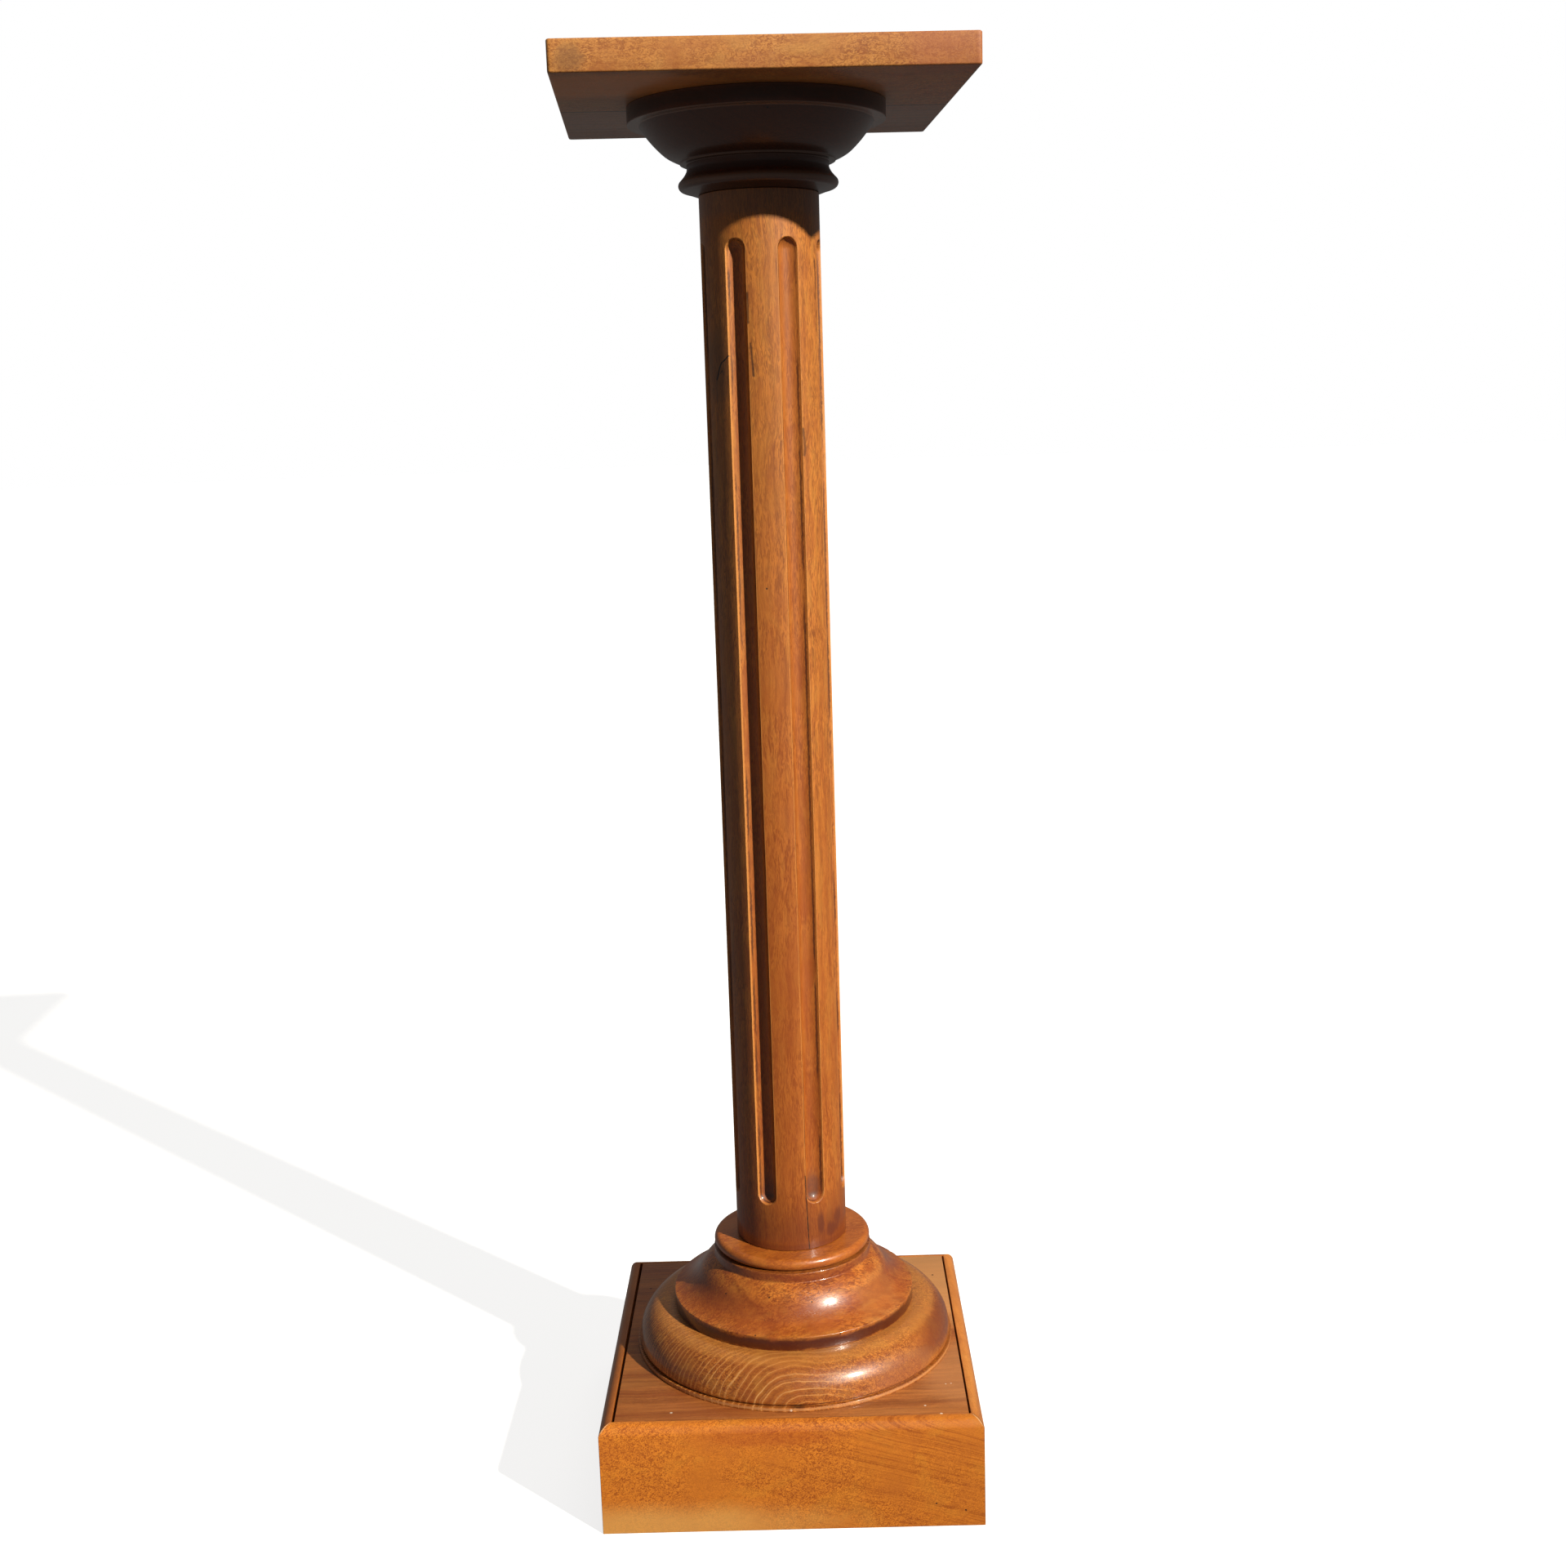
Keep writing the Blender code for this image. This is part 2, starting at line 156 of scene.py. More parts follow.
class Bench:
    """The node tree of one material, and the one method that adds any node to it."""

    def __init__(self, name: str) -> None:
        """Start an empty material.

        Args:
            name: The material's name.
        """
        self.material = bpy.data.materials.new(name)
        self.material.use_nodes = True
        self.tree = self.material.node_tree
        self.tree.nodes.clear()

    def node(self, kind: str, settings: Optional[Dict[str, Any]] = None,
             sockets: Optional[Dict[Union[str, int], Any]] = None) -> bpy.types.Node:
        """Add a node.

        Args:
            kind: The node's type.
            settings: Its properties, set before the sockets.
            sockets: What each input gets, a signal, another socket or a value.

        Returns:
            The new node.
        """
        node = self.tree.nodes.new(kind)
        for key, value in (settings or {}).items():
            setattr(node, key, value)
        for key, value in (sockets or {}).items():
            target = node.inputs[key]
            source = value.socket if isinstance(value, Signal) else value
            if isinstance(source, Socket):
                self.tree.links.new(source, target)
            else:
                target.default_value = source
        return node

    def millimetres(self) -> Socket:
        """Object coordinates in millimetres."""
        place = self.node("ShaderNodeTexCoord").outputs["Object"]
        return self.vector("SCALE", place, Scale=1000.0)

    def vector(self, operation: str, *values: Any, **named: Any) -> Socket:
        """Add a Vector Math node.

        Args:
            operation: The node's operation.
            values: Its vector inputs in order.
            named: Further inputs by name, such as Scale.

        Returns:
            The vector that it gives.
        """
        sockets: Dict[Union[str, int], Any] = dict(enumerate(values))
        sockets.update(named)
        return self.node("ShaderNodeVectorMath", {"operation": operation}, sockets).outputs[0]

    def distance(self, place: Any, point: Triple) -> Signal:
        """Distance from a fixed point."""
        node = self.node("ShaderNodeVectorMath", {"operation": "DISTANCE"},
                         {0: place, 1: point})
        return Signal(self, node.outputs["Value"])

    def split(self, vector: Socket) -> Tuple[Signal, Signal, Signal]:
        """The three parts of a vector."""
        parts = self.node("ShaderNodeSeparateXYZ", sockets={0: vector}).outputs
        return Signal(self, parts[0]), Signal(self, parts[1]), Signal(self, parts[2])

    def cloud(self, place: Any, scale: float, detail: float = 2.0, rough: float = 0.5,
              twist: float = 0.0) -> Signal:
        """Soft noise about 0.5.

        Args:
            place: The coordinates.
            scale: Lumps in a millimetre.
            detail: Octaves of finer lumps.
            rough: How strong those are.
            twist: How far the lumps are bent.

        Returns:
            The noise, mostly between 0.2 and 0.8.
        """
        node = self.node("ShaderNodeTexNoise", {"noise_dimensions": "3D"},
                         {"Vector": place, "Scale": scale, "Detail": detail,
                          "Roughness": rough, "Distortion": twist})
        return Signal(self, node.outputs[0])

    def strata(self, level: Signal, pitch: float, detail: float = 3.0,
               rough: float = 0.6) -> Signal:
        """Noise that changes along one number only, like layers of uneven thickness.

        Args:
            level: The number, in millimetres.
            pitch: Thickness of a layer.
            detail: Octaves of thinner layers.
            rough: How strong those are.

        Returns:
            The noise, mostly between 0.2 and 0.8.
        """
        node = self.node("ShaderNodeTexNoise", {"noise_dimensions": "1D"},
                         {"W": level / pitch, "Scale": 1.0, "Detail": detail,
                          "Roughness": rough})
        return Signal(self, node.outputs[0])

    def local(self, place: Any, at: Triple, reach: Triple = (1.0, 1.0, 1.0),
              turn: Triple = (0.0, 0.0, 0.0)) -> Socket:
        """Coordinates in a frame with its own origin, units and turn in degrees."""
        return self.node("ShaderNodeMapping", {"vector_type": "TEXTURE"},
                         {"Vector": place, "Location": at, "Scale": reach,
                          "Rotation": tuple(math.radians(a) for a in turn)}).outputs[0]

    def mix(self, amount: Any, first: Any, second: Any) -> Socket:
        """Mix two colours.

        Args:
            amount: How much of the second, 0 to 1.
            first: A colour or a colour socket.
            second: A colour or a colour socket.

        Returns:
            The mixed colour.
        """
        def whole(colour: Any) -> Any:
            """A colour with its alpha, or the socket as it is."""
            return (*colour, 1.0) if isinstance(colour, tuple) else colour
        node = self.node("ShaderNodeMix", {"data_type": "RGBA", "blend_type": "MIX"},
                         {0: amount, 6: whole(first), 7: whole(second)})
        return node.outputs[2]

    def shade(self, sockets: Dict[Union[str, int], Any]) -> Material:
        """Finish the material with one shader.

        Args:
            sockets: What the shader's inputs get.

        Returns:
            The material.
        """
        shader = self.node("ShaderNodeBsdfPrincipled", None, sockets)
        self.node("ShaderNodeOutputMaterial", None, {"Surface": shader.outputs[0]})
        return self.material


@dataclass
class Surface:
    """What a wood looks like so far, while marks are added to it.

    Attributes:
        bench: The material's node tree.
        place: Object coordinates in millimetres.
        colour: The colour so far.
        height: The relief so far.
    """

    bench: Bench
    place: Any
    colour: Any
    height: Any

    def tint(self, amount: Any, colour: Any) -> None:
        """Cover the colour so far by an amount from 0 to 1."""
        self.colour = self.bench.mix(amount, self.colour, colour)

    def sink(self, mask: Signal, depth: float) -> None:
        """Press the relief in where a mask is 1."""
        self.height = self.height - mask * (depth * MARK_DEPTH)


# Woods

class Mark(Enum):
    """What has marked the wood at one spot: its colour, and how deep it goes."""

    HOLE = ((0.012, 0.006, 0.004), 1.0)
    SPECK = ((0.80, 0.70, 0.56), -0.2)


@dataclass(frozen=True)
class Spot:
    """A small mark.

    Attributes:
        at: Where it is, in millimetres.
        radius: Its size.
        kind: What it is.
        strength: How much it covers.
    """

    at: Triple
    radius: float
    kind: Mark = Mark.HOLE
    strength: float = 1.0


@dataclass(frozen=True)
class Band:
    """A ring of dirt, stain, wear, painted shade or painted sheen round a turned piece, at one
    height.

    Attributes:
        height: Middle of the ring, in millimetres.
        half: Half its height.
        colour: What it is tinted with.
        strength: How much it covers.
    """

    height: float
    half: float
    colour: Colour
    strength: float


@dataclass(frozen=True)
class Zone:
    """A soft patch of another colour.

    Attributes:
        at: Its middle, in millimetres.
        reach: How far it goes along X, Y and Z.
        colour: What it is tinted with.
        strength: How much it covers.
        turn: Its turn about Z, in degrees.
        ragged: How uneven its outline is.
        core: How far out it is still full, as a part of its reach.
    """

    at: Triple
    reach: Triple
    colour: Colour
    strength: float = 0.5
    turn: float = 0.0
    ragged: float = 0.5
    core: float = 0.45


@dataclass(frozen=True)
class Wood:
    """A varnished wood with the growth layers, fibres and flecks of one piece.

    Attributes:
        name: The material's name.
        pale: The colour of the early wood.
        deep: The colour of the late wood and of dark streaks.
        red: The colour where stain has gathered.
        turn: Turn of the grain's frame in degrees; its Z runs along the fibres.
        pith: A point on the tree's heart line, in millimetres.
        ring_pitch: Distance between growth layers.
        rings: How clearly they show.
        ring_edge: How thin their lines are.
        fleck: How clearly small curly flecks show.
        fleck_size: How large those are.
        fleck_stretch: How short they are along the fibres; 1 is as long as wide.
        fleck_fade: From and to which x they fade out.
        pores: How clearly short dark pores show.
        mottle: How much the red colour takes over in patches.
        mottle_size: How large these patches are.
        mottle_stretch: How short they are along the fibres.
        gold: How much a yellower colour takes over between them.
        streak: How clearly long streaks show.
        roughness: Roughness of the wood under the varnish.
        coat: How much of the surface is still under gloss varnish.
        coat_roughness: Roughness of that varnish.
        relief: How much of the grain can be felt.
        bands: Rings of dirt, wear, painted shade or painted sheen.
        zones: Patches of another colour.
        spots: Holes and specks.
    """

    name: str
    pale: Colour = (0.56, 0.20, 0.045)
    deep: Colour = (0.26, 0.075, 0.014)
    red: Colour = (0.30, 0.065, 0.012)
    turn: Triple = (0.0, 0.0, 0.0)
    pith: Triple = (0.0, 0.0, 0.0)
    ring_pitch: float = 6.0
    rings: float = 0.30
    ring_edge: float = 2.0
    fleck: float = 0.25
    fleck_size: float = 1.8
    fleck_stretch: float = 0.7
    fleck_fade: Point = (900.0, 999.0)
    pores: float = 0.25
    mottle: float = 0.35
    mottle_size: float = 28.0
    mottle_stretch: float = 0.8
    gold: float = 0.25
    streak: float = 0.5
    roughness: float = 0.42
    coat: float = 0.55
    coat_roughness: float = 0.13
    relief: float = 0.25
    bands: Tuple[Band, ...] = ()
    zones: Tuple[Zone, ...] = ()
    spots: Tuple[Spot, ...] = ()

    def layers(self, bench: Bench, place: Any,
               grain: Any) -> Tuple[Signal, Optional[Signal]]:
        """Growth layers round the heart of the tree.

        Args:
            bench: The material's node tree.
            place: Object coordinates in millimetres.
            grain: The same in the grain's frame, with a slow wander.

        Returns:
            How dark the late wood is, 0 to 1, and how light the thin lines are, if any.
        """
        across, up, _ = bench.split(grain)
        radius = (across * across + up * up).root()
        wave = (radius * (2 * math.pi / self.ring_pitch)).sine() * 0.5 + 0.5
        uneven = bench.strata(radius, self.ring_pitch * 1.1).step(0.30, 0.66)
        finer = bench.strata(radius + 40.0, self.ring_pitch * 0.22)
        return wave ** self.ring_edge * uneven * 0.8 + finer * 0.45, None

    def extra(self, surface: Surface) -> None:
        """Add marks that only some pieces have; the plain wood has none.

        Args:
            surface: The wood so far.
        """

    def grain(self, bench: Bench, place: Any) -> Socket:
        """Find the coordinates in the grain's frame.

        Args:
            bench: The material's node tree.
            place: Object coordinates in millimetres.

        Returns:
            The coordinates with a slow wander; their Z runs along the fibres.
        """
        framed = bench.local(place, self.pith, turn=self.turn)
        wander = bench.node("ShaderNodeTexNoise", {"noise_dimensions": "3D"},
                            {"Vector": place, "Scale": 0.016, "Detail": 2.0}).outputs["Color"]
        centred = bench.vector("SUBTRACT", wander, (0.5, 0.5, 0.5))
        return bench.vector("ADD", framed, bench.vector("SCALE", centred, Scale=WANDER))

    def mark(self, surface: Surface, patch: Signal) -> None:
        """Add the zones, bands and spots.

        Args:
            surface: The wood so far.
            patch: The mottle, which makes their outlines uneven.
        """
        bench, place = surface.bench, surface.place
        level = bench.split(place)[2]
        for zone in self.zones:
            local = bench.local(place, zone.at, zone.reach, (0.0, 0.0, zone.turn))
            far = bench.distance(local, (0.0, 0.0, 0.0)) + (patch - 0.5) * zone.ragged
            surface.tint(far.step(1.0, zone.core) * zone.strength, zone.colour)
        for band in self.bands:
            off = abs(level + (patch - 0.5) * (band.half * 0.8) - band.height)
            surface.tint(off.step(band.half, band.half * 0.35) * band.strength, band.colour)
        for spot in self.spots:
            tint, depth = spot.kind.value
            mask = bench.distance(place, spot.at).step(spot.radius, spot.radius * 0.45)
            surface.tint(mask * spot.strength, tint)
            surface.sink(mask, depth)

    def material(self) -> Material:
        """Build the nodes.

        Returns:
            The material.
        """
        bench = Bench(self.name)
        place = bench.millimetres()
        grain = self.grain(bench, place)
        late, lines = self.layers(bench, place, grain)

        def drawn(stretch: Triple, *kind: float) -> Signal:
            """Noise drawn out along the grain."""
            return bench.cloud(bench.vector("MULTIPLY", grain, stretch), *kind)

        streak = drawn(STREAKS, 1.0, 4.0, 0.62)
        fibre = drawn(FIBRES, 1.0, 3.0, 0.6)
        pits = drawn(PORES, 1.0, 1.0).step(0.60, 0.72)
        curl = drawn((1.0, 1.0, self.fleck_stretch), 1.0 / self.fleck_size, 2.5, 0.55, 1.6)
        patch = drawn((1.0, 1.0, self.mottle_stretch), 1.0 / self.mottle_size, 3.5, 0.6, 0.4)
        where = bench.cloud(place, 0.022, 2.0).step(0.36, 0.58) * 0.75 + 0.25
        where = where * bench.split(place)[0].step(self.fleck_fade[1], self.fleck_fade[0])

        tone = (0.62 - late * self.rings + (streak - 0.5) * self.streak
                + (fibre - 0.5) * 0.42 + (patch - 0.5) * 0.35)
        tone = tone + (curl.step(0.34, 0.66) - 0.5) * where * self.fleck
        height = fibre * 0.35 + streak * 0.25 + curl * (self.fleck * 0.3) - pits * 0.6
        surface = Surface(bench, place, bench.mix(tone.step(-0.05, 1.05), self.deep, self.pale),
                          height)
        surface.tint(patch.step(0.48, 0.70) * self.mottle, self.red)
        gilt = (self.pale[0] * 1.02, self.pale[1] * 1.28, self.pale[2] * 1.4)
        surface.tint(patch.step(0.50, 0.32) * self.gold, gilt)
        if lines is not None:
            surface.tint((lines * LINE_COVER).least(1.0),
                         bench.mix(0.55, self.pale, (1.0, 0.62, 0.25)))
        surface.tint(pits * self.pores, tuple(part * 0.35 for part in self.deep))
        self.mark(surface, patch)
        self.extra(surface)

        haze = bench.cloud(place, 0.05, 4.0, 0.6) - 0.5
        bump = bench.node("ShaderNodeBump", None,
                          {"Strength": self.relief, "Distance": RELIEF_HEIGHT,
                           "Height": surface.height})
        return bench.shade({
            "Base Color": surface.colour, "Normal": bump.outputs[0],
            "IOR": 1.5, "Coat IOR": 1.5, "Coat Roughness": self.coat_roughness,
            "Roughness": self.roughness + haze * 0.18 + pits * 0.10,
            "Coat Weight": self.coat * (0.86 + haze * 0.6) - pits * 0.15})


@dataclass(frozen=True)
class RingedWood(Wood):
    """A wood cut so that its layers show as nested hooks with thin light lines.

    Attributes:
        heart: The point that the hooks close round, in millimetres.
        spread: Distance between two lines along X, Y and Z there.
        fade: From and to which x the lines fade out into mottled wood.
        right_spread: How much closer the hooks' right arms are than their left ones.
        line_edge: How thin the light lines are.
        dimmed: From and to which height the lines grow fainter.
    """

    heart: Triple = (7.0, -124.0, 86.0)
    spread: Triple = (7.4, 4.6, 5.6)
    fade: Point = (12.0, 62.0)
    right_spread: float = 0.22
    line_edge: float = 24.0
    dimmed: Point = (117.0, 100.0)

    def layers(self, bench: Bench, place: Any, grain: Any) -> Tuple[Signal, Signal]:
        """Nested shells round the heart, finer further out; see Wood.layers."""
        shifted = bench.vector("SUBTRACT", place, self.heart)
        side, depth, rise = bench.split(bench.vector("DIVIDE", shifted, self.spread))
        left = side.least(0.0) + side.most(0.0) * self.right_spread
        reach = (left * left + depth * depth + rise * rise).root()
        wander = bench.cloud(place, 0.028, 2.0) - 0.5
        ripple = bench.cloud(place, 0.30, 2.0) - 0.5
        phase = reach + reach * reach * 0.014 + wander * 2.4 + ripple * 0.13
        swing = bench.strata(phase, 1.7, 2.0) - 0.5
        wave = ((phase + swing * 0.9) * (2 * math.pi)).sine() * 0.5 + 0.5
        between = bench.strata(phase, 0.34, 3.0, 0.7)
        across, _, height = bench.split(place)
        shown = (across + wander * 60.0).step(self.fade[1], self.fade[0])
        uneven = bench.cloud(place, 0.06, 2.0).step(0.30, 0.62) * 0.6 + 0.4
        upper = height.step(*self.dimmed) * 0.6 + 0.4
        lines = (wave ** self.line_edge) * shown * uneven * upper
        faint = between.step(0.58, 0.70) * 0.35 * shown * uneven
        dark = (1.0 - wave) * 0.30 * shown + between * 0.42
        return dark + (1.0 - shown) * 0.10, lines + faint


@dataclass(frozen=True)
class PlanedWood(Wood):
    """A wood cut so that thin dark lines of flat growth layers cross it.

    Attributes:
        across: The layers' direction across, so that they show as slanting lines.
        shown: From and to which x the lines come in.
        broad: How clearly the broad layers show.
        finest: How clearly the finest ones do.
    """

    across: Triple = (0.28, -0.57, 1.0)
    shown: Point = (-70.0, 50.0)
    broad: float = 0.15
    finest: float = 1.3

    def layers(self, bench: Bench, place: Any, grain: Any) -> Tuple[Signal, None]:
        """Flat layers of uneven thickness; see Wood.layers."""
        side, back, up = bench.split(place)
        wander = bench.cloud(place, 0.012, 2.0) - 0.5
        ripple = bench.cloud(place, 0.09, 2.0) - 0.5
        level = (side * self.across[0] + back * self.across[1] + up * self.across[2]
                 + wander * 9.0 + ripple * 0.8)
        broad = bench.strata(level, self.ring_pitch, 1.0).step(0.40, 0.66)
        thin = bench.strata(level + 300.0, self.ring_pitch * 0.42, 3.0, 0.7)
        finest = bench.strata(level + 90.0, self.ring_pitch * 0.14) - 0.5
        broken = bench.cloud(place, 0.07, 2.0).step(0.32, 0.60) * 0.7 + 0.3
        lines = abs(thin - 0.5).step(0.040, 0.0) * broken
        here = side.step(*self.shown) * 0.85 + 0.15
        return (broad * self.broad + lines + finest * self.finest) * here, None


@dataclass(frozen=True)
class Scratch:
    """A crack or dark streak on the shaft.

    Attributes:
        points: Its course as (degrees to the right of the front, height in millimetres).
        width: Its width in millimetres.
        strength: How dark it is.
        depth: How deep it looks.
    """

    points: Tuple[Point, ...]
    width: float
    strength: float = 1.0
    depth: float = 1.0


@dataclass(frozen=True)
class FlutedWood(Wood):
    """The shaft's wood, which knows where the flutes and their worn edges are.

    Attributes:
        radius: The shaft's radius.
        count: How many flutes there are.
        first: The angle of the first flute, in degrees.
        half_width: Half the width of a flute, measured round the shaft.
        low: Height where a flute's straight part starts.
        high: Height where it ends.
        scratches: Cracks and streaks.
    """

    radius: float = 42.7
    count: int = 7
    first: float = 27.3
    half_width: float = 7.78
    low: float = 217.3
    high: float = 913.5
    scratches: Tuple[Scratch, ...] = ()

    def extra(self, surface: Surface) -> None:
        """Worn flute edges with painted highlights, grime and painted shade in the flutes, cracks
        and streaks; see Wood.extra.
        """
        bench, place = surface.bench, surface.place
        across, back, level = bench.split(place)
        angle = across.angle_over(-back)
        sector = 2 * math.pi / self.count
        around = abs((angle - math.radians(self.first)).wrap(sector / 2, -sector / 2))
        around = around * self.radius
        beyond = (level - self.high).most(self.low - level).most(0.0)
        edge = (around * around + beyond * beyond).root() - self.half_width
        nibble = bench.cloud(place, 0.35, 3.0) - 0.5
        patchy = bench.cloud(bench.vector("MULTIPLY", place, FLUTE_DIRT), 1.0, 3.0)
        upper = level.step(420.0, 860.0)

        surface.tint(upper * 0.16, (0.62, 0.27, 0.065))
        surface.tint(level.step(640.0, 190.0) * 0.42, (0.33, 0.070, 0.006))
        surface.tint(level.step(234.0, 178.0) * 0.55, (0.11, 0.015, 0.003))
        # Painted shade: the flutes' hollows are darkened and reddened.
        surface.tint(edge.step(0.0, -3.0) * 0.34, (0.30, 0.062, 0.008))
        # A dark line just inside the flutes' edges: partly grime, partly painted shade on their
        # steep walls.
        grime_and_shade = abs(edge + 1.0 + nibble * 0.9).step(0.62, 0.12) * patchy.step(0.42, 0.54)
        surface.tint(grime_and_shade * 0.80, (0.060, 0.016, 0.005))
        outer = abs(edge - 1.1 + nibble * 1.4).step(1.0, 0.1) * patchy.step(0.56, 0.68)
        surface.tint(outer * upper * 0.55, (0.12, 0.030, 0.008))
        # A lighter line along the flutes' arrises: partly wear, partly a painted highlight of the
        # rounded arris.
        worn = abs(edge + nibble * 0.3).step(0.60, 0.15)
        surface.tint(worn * (0.55 - beyond.step(0.5, 5.0) * 0.33), (0.82, 0.36, 0.09))
        # The flutes' ball ends darker and greyer: partly dirt, partly painted shade in the hollow
        # with a greyish painted sheen.
        floor = edge.step(-0.8, -4.2) * (beyond + nibble * 2.0 + 3.0).step(0.2, 6.0)
        surface.tint(floor * level.step(240.0, 222.0) * 0.80, (0.085, 0.050, 0.042))

        lap = angle * self.radius
        wobble = bench.cloud(place, 0.25, 3.0, 0.6) - 0.5
        for scratch in self.scratches:
            gap = self.off(scratch, lap, level) + wobble * scratch.width
            mask = gap.step(scratch.width, scratch.width * 0.25)
            surface.tint(mask * scratch.strength, (0.022, 0.009, 0.005))
            surface.sink(mask, scratch.depth)

    def off(self, scratch: Scratch, lap: Signal, level: Signal) -> Signal:
        """Measure the distance from a scratch on the unrolled shaft.

        Args:
            scratch: The scratch.
            lap: The place round the shaft, in millimetres.
            level: The height in millimetres.

        Returns:
            The distance from its nearest stretch.
        """
        course = [(math.radians(a) * self.radius, z) for a, z in scratch.points]
        gaps = []
        for (u0, v0), (u1, v1) in zip(course, course[1:]):
            du, dv = u1 - u0, v1 - v0
            square = du * du + dv * dv
            along = ((lap - u0) * (du / square) + (level - v0) * (dv / square))
            along = along.most(0.0).least(1.0)
            off_u = lap - u0 - along * du
            off_v = level - v0 - along * dv
            gaps.append((off_u * off_u + off_v * off_v).root())
        nearest = gaps[0]
        for gap in gaps[1:]:
            nearest = nearest.least(gap)
        return nearest


# Mouldings

def arc(centre: Point, out: float, up: float, start: float, end: float,
        steps: int) -> List[Point]:
    """Chords of an elliptic arc; an angle of 0 degrees is outwards and 90 is up."""
    angles = [math.radians(start + (end - start) * i / steps) for i in range(steps + 1)]
    return [(centre[0] + out * math.cos(a), centre[1] + up * math.sin(a)) for a in angles]


def sweep(start: Point, end: Point, first: float, last: float, steps: int) -> List[Point]:
    """Smooth curve of a moulding between two points.

    Args:
        start: First point.
        end: Last point.
        first: Slope against the level at the start, in degrees.
        last: Slope at the end.
        steps: How many chords it has.

    Returns:
        The points from start to end.
    """
    reach = math.dist(start, end)
    rising = 1.0 if end[1] > start[1] else -1.0
    outward = 1.0 if end[0] > start[0] else -1.0
    pulls = [(outward * reach * math.cos(math.radians(slope)),
              rising * reach * math.sin(math.radians(slope))) for slope in (first, last)]
    points = []
    for i in range(steps + 1):
        t = i / steps
        weights = (2 * t**3 - 3 * t**2 + 1, t**3 - 2 * t**2 + t, 3 * t**2 - 2 * t**3, t**3 - t**2)
        parts = (start, pulls[0], end, pulls[1])
        points.append((sum(w * p[0] for w, p in zip(weights, parts)),
                       sum(w * p[1] for w, p in zip(weights, parts))))
    return points


def eased(points: Sequence[Point], worn: float, bend: float = 22.0) -> List[Point]:
    """Round the sharp corners of an outline, as handling does.

    Args:
        points: The outline.
        worn: How far from the corner the rounding starts.
        bend: The least turn in degrees that counts as a corner.

    Returns:
        The outline with each corner as a small curve between two close points.
    """
    result = [tuple(points[0])]
    for before, here, after in zip(points, points[1:], points[2:]):
        back, on = Vector(before) - Vector(here), Vector(after) - Vector(here)
        if back.length < 1e-7 or on.length < 1e-7:
            continue
        if 180.0 - math.degrees(back.angle(on)) < bend:
            result.append(tuple(here))
            continue
        cut = min(worn, back.length * 0.45, on.length * 0.45)
        first = Vector(here) + back.normalized() * cut
        last = Vector(here) + on.normalized() * cut
        if back.length > cut * 2.4:
            result.append(tuple(first + back.normalized() * cut * 0.4))
        for i in range(5):
            t = i / 4
            spot = first * (1 - t)**2 + Vector(here) * (2 * t * (1 - t)) + last * t**2
            result.append(tuple(spot))
        if on.length > cut * 2.4:
            result.append(tuple(last + on.normalized() * cut * 0.4))
    result.append(tuple(points[-1]))
    return result


def tremor(x: float, y: float, z: float, size: float) -> float:
    """Smooth unevenness between about -1 and 1, with lumps of a given size."""
    return noise.noise(Vector((x, y, z)) / size)


def finished(name: str, bm: Mesh, wood: Wood,
             crease: float = 32.0) -> Item:
    """Turn a bmesh into a finished, smooth-shaded object with its wood.

    Args:
        name: The piece's name.
        bm: Its mesh; freed here.
        wood: Its wood.
        crease: Edges that turn more than this many degrees stay crisp.

    Returns:
        The object, at the origin.
    """
    bmesh.ops.remove_doubles(bm, verts=bm.verts, dist=MERGE)
    bmesh.ops.dissolve_degenerate(bm, edges=bm.edges, dist=1e-7)
    bmesh.ops.recalc_face_normals(bm, faces=bm.faces)
    mesh = bpy.data.meshes.new(name)
    bm.to_mesh(mesh)
    bm.free()
    mesh.shade_smooth()
    mesh.set_sharp_from_angle(angle=math.radians(crease))
    mesh.materials.append(wood.material())
    item = bpy.data.objects.new(name, mesh)
    bpy.context.scene.collection.objects.link(item)
    return item


def mounted(piece: Item, slot: str, *nodes: str) -> None:
    """Fix a piece to the pedestal in place of its solids.

    Args:
        piece: The finished piece.
        slot: The record's material slot; not used.
        nodes: The CAD nodes that it stands for.
    """
    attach(piece, BODY)
    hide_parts(*nodes)
    LOG.info("%s stands for %s, %d faces", piece.name, ", ".join(nodes),
             len(piece.data.polygons))


def block(low: Vector, high: Vector) -> Mesh:
    """Make a plain block.

    Args:
        low: Its lowest corner.
        high: Its highest corner.

    Returns:
        Its mesh.
    """
    bm = bmesh.new()
    bmesh.ops.create_cube(bm, size=1.0)
    bmesh.ops.scale(bm, vec=high - low, verts=bm.verts)
    bmesh.ops.translate(bm, vec=(low + high) / 2, verts=bm.verts)
    return bm


def bevelled(bm: Mesh, edges: Sequence[Edge], size: float,
             segments: int) -> None:
    """Round edges of a mesh.

    Args:
        bm: The mesh.
        edges: The edges to round.
        size: How far from each edge the rounding starts.
        segments: How many strips it has.
    """
    bmesh.ops.bevel(bm, geom=edges, offset=size, offset_type="OFFSET", affect="EDGES",
                    segments=segments, profile=0.5, material=-1)


